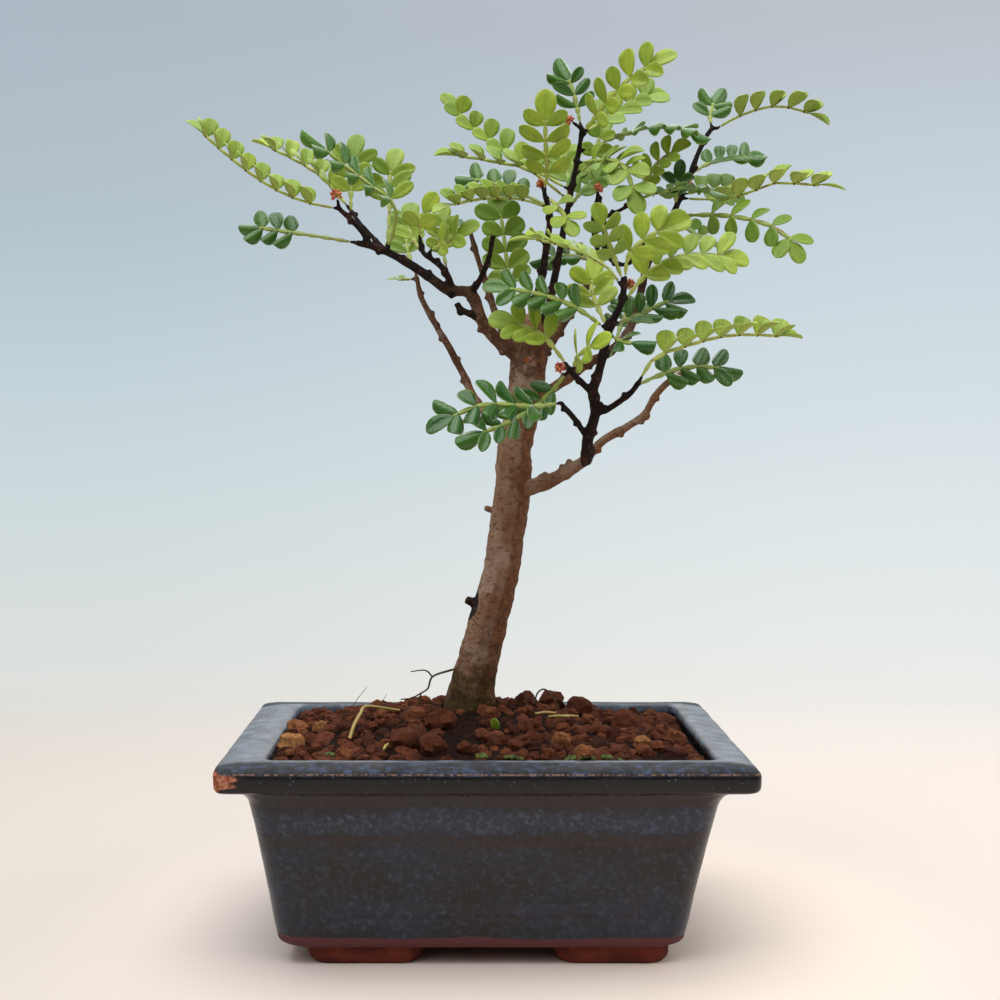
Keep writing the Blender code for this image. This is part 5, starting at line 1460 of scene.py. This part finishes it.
def makeGranules(height):
    chance = random.Random(11)
    lumps = modelGranules()
    reachX, reachY = soilLook["reach"]
    trunk = treePlace(*trunkLine[1][:3])
    wanted = []
    columns, rows = int(2 * reachX / soilLook["spacing"]), int(2 * reachY / soilLook["spacing"])
    for column in range(columns + 1):
        for row in range(rows + 1):
            x = -reachX + 2 * reachX * (column + (row % 2) * 0.5 + chance.uniform(-0.42, 0.42)) / columns
            y = -reachY + 2 * reachY * (row + chance.uniform(-0.42, 0.42)) / rows
            radius = soilLook["smallest"] + (soilLook["largest"] - soilLook["smallest"]) * chance.random() ** 1.3
            wanted.append((x, y, radius, chance.uniform(0.0, 0.5), 0.0))
    for extra in range(soilLook["second"]):
        wanted.append((chance.uniform(-reachX, reachX), chance.uniform(-reachY, reachY), chance.uniform(1.2, 2.5),
                       chance.uniform(0.1, 0.62), 1.0))
    clear = [(x, y, radius * 0.9) for x, y, radius, tone in soilLook["pale"]]
    made = []
    for x, y, radius, tone, raised in wanted:
        x = min(max(x, -reachX + radius * 0.4), reachX - radius * 0.4)
        y = min(max(y, -reachY + radius * 0.4), reachY - radius * 0.4)
        left = next((share for cx, cy, hx, hy, share in soilLook["bare"] if abs(x - cx) < hx and abs(y - cy) < hy),
                    0.0)
        if chance.random() < left or any(math.hypot(x - cx, y - cy) < away for cx, cy, away in clear):
            continue
        fromTrunk = math.hypot(x + potMiddle - trunk.x, y - trunk.y)
        if fromTrunk < 8.5 + radius * 0.5:
            continue
        top = height(x, y)
        if top is not None:
            made.append(placeGranule(lumps, x, y, top + radius * (raised * 0.75 - soilLook["sink"]), radius, tone,
                                     chance))
    for x, y, radius, tone in soilLook["pale"]:
        top = height(min(max(x, -reachX), reachX), y)
        x = min(max(x, -reachX + radius * 0.5), reachX - radius * 0.5)
        made.append(placeGranule(lumps, x, y, (top or 57.0) + radius * 0.3, radius, 0.5 + tone * 0.5, chance))
    granules = joinAll("soil_granules", made)
    setMaterial(granules, granuleMaterial())
    dress(granules, "soil")
    selectOnly(*lumps)
    bpy.ops.object.delete()


def placeGranule(lumps, x, y, z, radius, tone, chance):
    turn = Matrix.Rotation(chance.uniform(0, 6.28), 4, "Z") @ Matrix.Rotation(chance.uniform(-0.6, 0.6), 4, "X") \
        @ Matrix.Rotation(chance.uniform(-0.6, 0.6), 4, "Y")
    place = Matrix.Translation(((x + potMiddle) * mm, y * mm, z * mm))
    granule = copyOf(lumps[chance.randrange(len(lumps))], place @ turn @ Matrix.Scale(radius * mm, 4))
    paintWhole(granule, "tone", tone)
    return granule


print("soil")
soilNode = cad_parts["soil"]
setMaterial(soilNode, bedMaterial())
soilHeight = soilTop()
makeGranules(soilHeight)


def plainMaterial(name, under, over, size, rough):
    material, tree, shader = newMaterial(name, Roughness=rough)
    base = placeGroup(tree, mottle, {"Place": objectPlace(tree), "Size": size, "Detail": 4.0, "From": 0.4,
                                     "To": 0.64, "Under": under, "Over": over})
    tree.links.new(base.outputs["Colour"], shader.inputs["Base Color"])
    addBump(tree, shader, grainHeight(tree, objectPlace(tree), size * 0.5, 0.4), 0.5, 0.0003)
    return material


# x, y, spread, tufts
mossPatches = [(-1.5, -39.3, 2.2, 9), (7.0, -40.0, 2.2, 8), (24.5, -39.6, 5.0, 18), (33.5, -39.0, 2.5, 8),
               (38.0, -39.6, 3.0, 8), (-46.0, -33.0, 2.2, 6), (-10.0, 20.0, 3.5, 12), (30.0, 33.0, 3.0, 9)]


def makeMoss():
    chance = random.Random(3)
    bpy.ops.mesh.primitive_ico_sphere_add(subdivisions=2, radius=1)
    tuft = bpy.context.object
    for vert in tuft.data.vertices:
        vert.co *= 1 + 0.35 * noise.noise(vert.co * 2.3)
    bpy.ops.object.shade_smooth()
    made = []
    for x, y, reach, count in mossPatches:
        for number in range(count):
            px, py = x + chance.gauss(0, reach * 0.5), y + chance.gauss(0, 0.7)
            py = max(-41.6, min(41.6, py))
            top = soilHeight(px, py)
            if top is not None:
                size = chance.uniform(0.5, 1.05)
                place = Matrix.Translation(((px + potMiddle) * mm, py * mm, (top + 0.7) * mm))
                made.append(copyOf(tuft, place @ Matrix.Rotation(chance.uniform(0, 6), 4, "Z")
                                   @ Matrix.Diagonal((size * mm, size * mm, size * 0.8 * mm, 1))))
    moss = joinAll("moss_tufts", made)
    setMaterial(moss, plainMaterial("moss", colour(40, 54, 12), colour(92, 108, 30), 0.0012, 0.9))
    dress(moss, "young_leaf")
    selectOnly(tuft)
    bpy.ops.object.delete()


# threads lying on the soil or rising from it: points in mm as across, up and depth on the tree's plane,
# then the first and last radius
threads = {
    "rootlet_main": ([(-7.9, 78.6, 4.5), (-12.0, 77.6, 5.5), (-16.8, 75.8, 6.0), (-18.2, 72.2, 6.5),
                      (-20.6, 70.6, 7.0), (-23.2, 69.2, 7.5), (-26.6, 68.8, 8.0)], 0.42, 0.2),
    "rootlet_high": ([(-16.8, 75.8, 6.0), (-19.0, 77.8, 6.0), (-23.5, 77.4, 6.5)], 0.28, 0.16),
    "rootlet_tip": ([(-20.2, 70.9, 7.0), (-21.6, 67.2, 7.5), (-25.5, 65.8, 8.0)], 0.26, 0.15),
    "root_loop": ([(14.6, 66.0, 12.0), (15.6, 70.4, 12.0), (17.8, 72.0, 12.0), (20.2, 70.0, 12.5),
                   (22.2, 66.0, 13.0)], 0.3, 0.22),
    "hair_left": ([(-41.4, 66.5, 16.0), (-40.0, 69.0, 16.0), (-37.0, 72.6, 16.0)], 0.12, 0.07),
    "hair_right": ([(-33.4, 66.0, 16.0), (-32.0, 68.6, 16.0), (-31.0, 70.4, 16.0)], 0.12, 0.07),
}
stalkPoints = [(-42.5, 56.5, -20.0), (-41.0, 61.0, -16.0), (-39.2, 64.2, -10.0), (-37.0, 66.6, -3.0),
               (-27.0, 65.4, 2.0)]


def makeThreads():
    made = []
    for points, first, last in threads.values():
        line = smoothLine([treePlace(*place) for place in points], 0.7)
        made.append(stemTube(line, blendRange(first, last, len(line))))
    roots = joinAll("fine_roots", made)
    smoothShade(roots, 60)
    setMaterial(roots, plainMaterial("fineRoots", colour(92, 78, 60), colour(58, 44, 32), 0.002, 0.85))
    dress(roots, "bark")
    line = smoothLine([treePlace(*place) for place in stalkPoints], 0.7)
    straw = [stemTube(line, blendRange(0.55, 0.4, len(line)))]
    for number, (x, y, turn) in enumerate(((15.0, -2.0, 0.2), (19.0, -3.5, -0.3), (22.0, -1.5, 0.1),
                                           (-30.0, -36.5, 1.4))):
        top = (soilHeight(x, y) or 58.0) + 2.0
        start = Vector((x + potMiddle, y, top))
        way = Vector((math.cos(turn), math.sin(turn), 0.06 * (number % 2)))
        straw.append(stemTube([start, start + way * 3.0 + Vector((0, 0, 0.3)), start + way * 6.5],
                              [0.35, 0.45, 0.3]))
    stalk = joinAll("straw_bits", straw)
    smoothShade(stalk, 60)
    setMaterial(stalk, plainMaterial("straw", colour(150, 142, 58), colour(172, 138, 84), 0.003, 0.6))
    dress(stalk, "young_leaf")


def makeSeedling():      # one small round leaf on a thin stem, in front of the trunk
    leaf = modelLeaflet("seedlingLeaf", 0.12, 0.05, 0.0)
    root = treePlace(3.4, 57.6, -14.0)
    across, along = Vector((0.94, -0.2, 0.27)).normalized(), Vector((-0.2, -0.35, 0.92)).normalized()
    leaf.matrix_world = standOn(root + Vector((0, 0, 1.2)), across, along, across.cross(along), (2.8, 4.6, 4.6))
    paintWhole(leaf, "tone", 0.6)
    stem = stemTube([root - Vector((0, 0, 2.0)), root, root + Vector((0, 0, 1.4))], [0.3, 0.28, 0.25])
    paintWhole(stem, "tone", 0.6)
    setMaterial(leaf, bpy.data.materials["youngLeaf"])
    setMaterial(stem, bpy.data.materials["frondStalk"])
    seedling = joinAll("seedling", [leaf, stem])
    dress(seedling, "young_leaf")


print("moss, roots, straw and seedling")
makeMoss()
makeThreads()
makeSeedling()
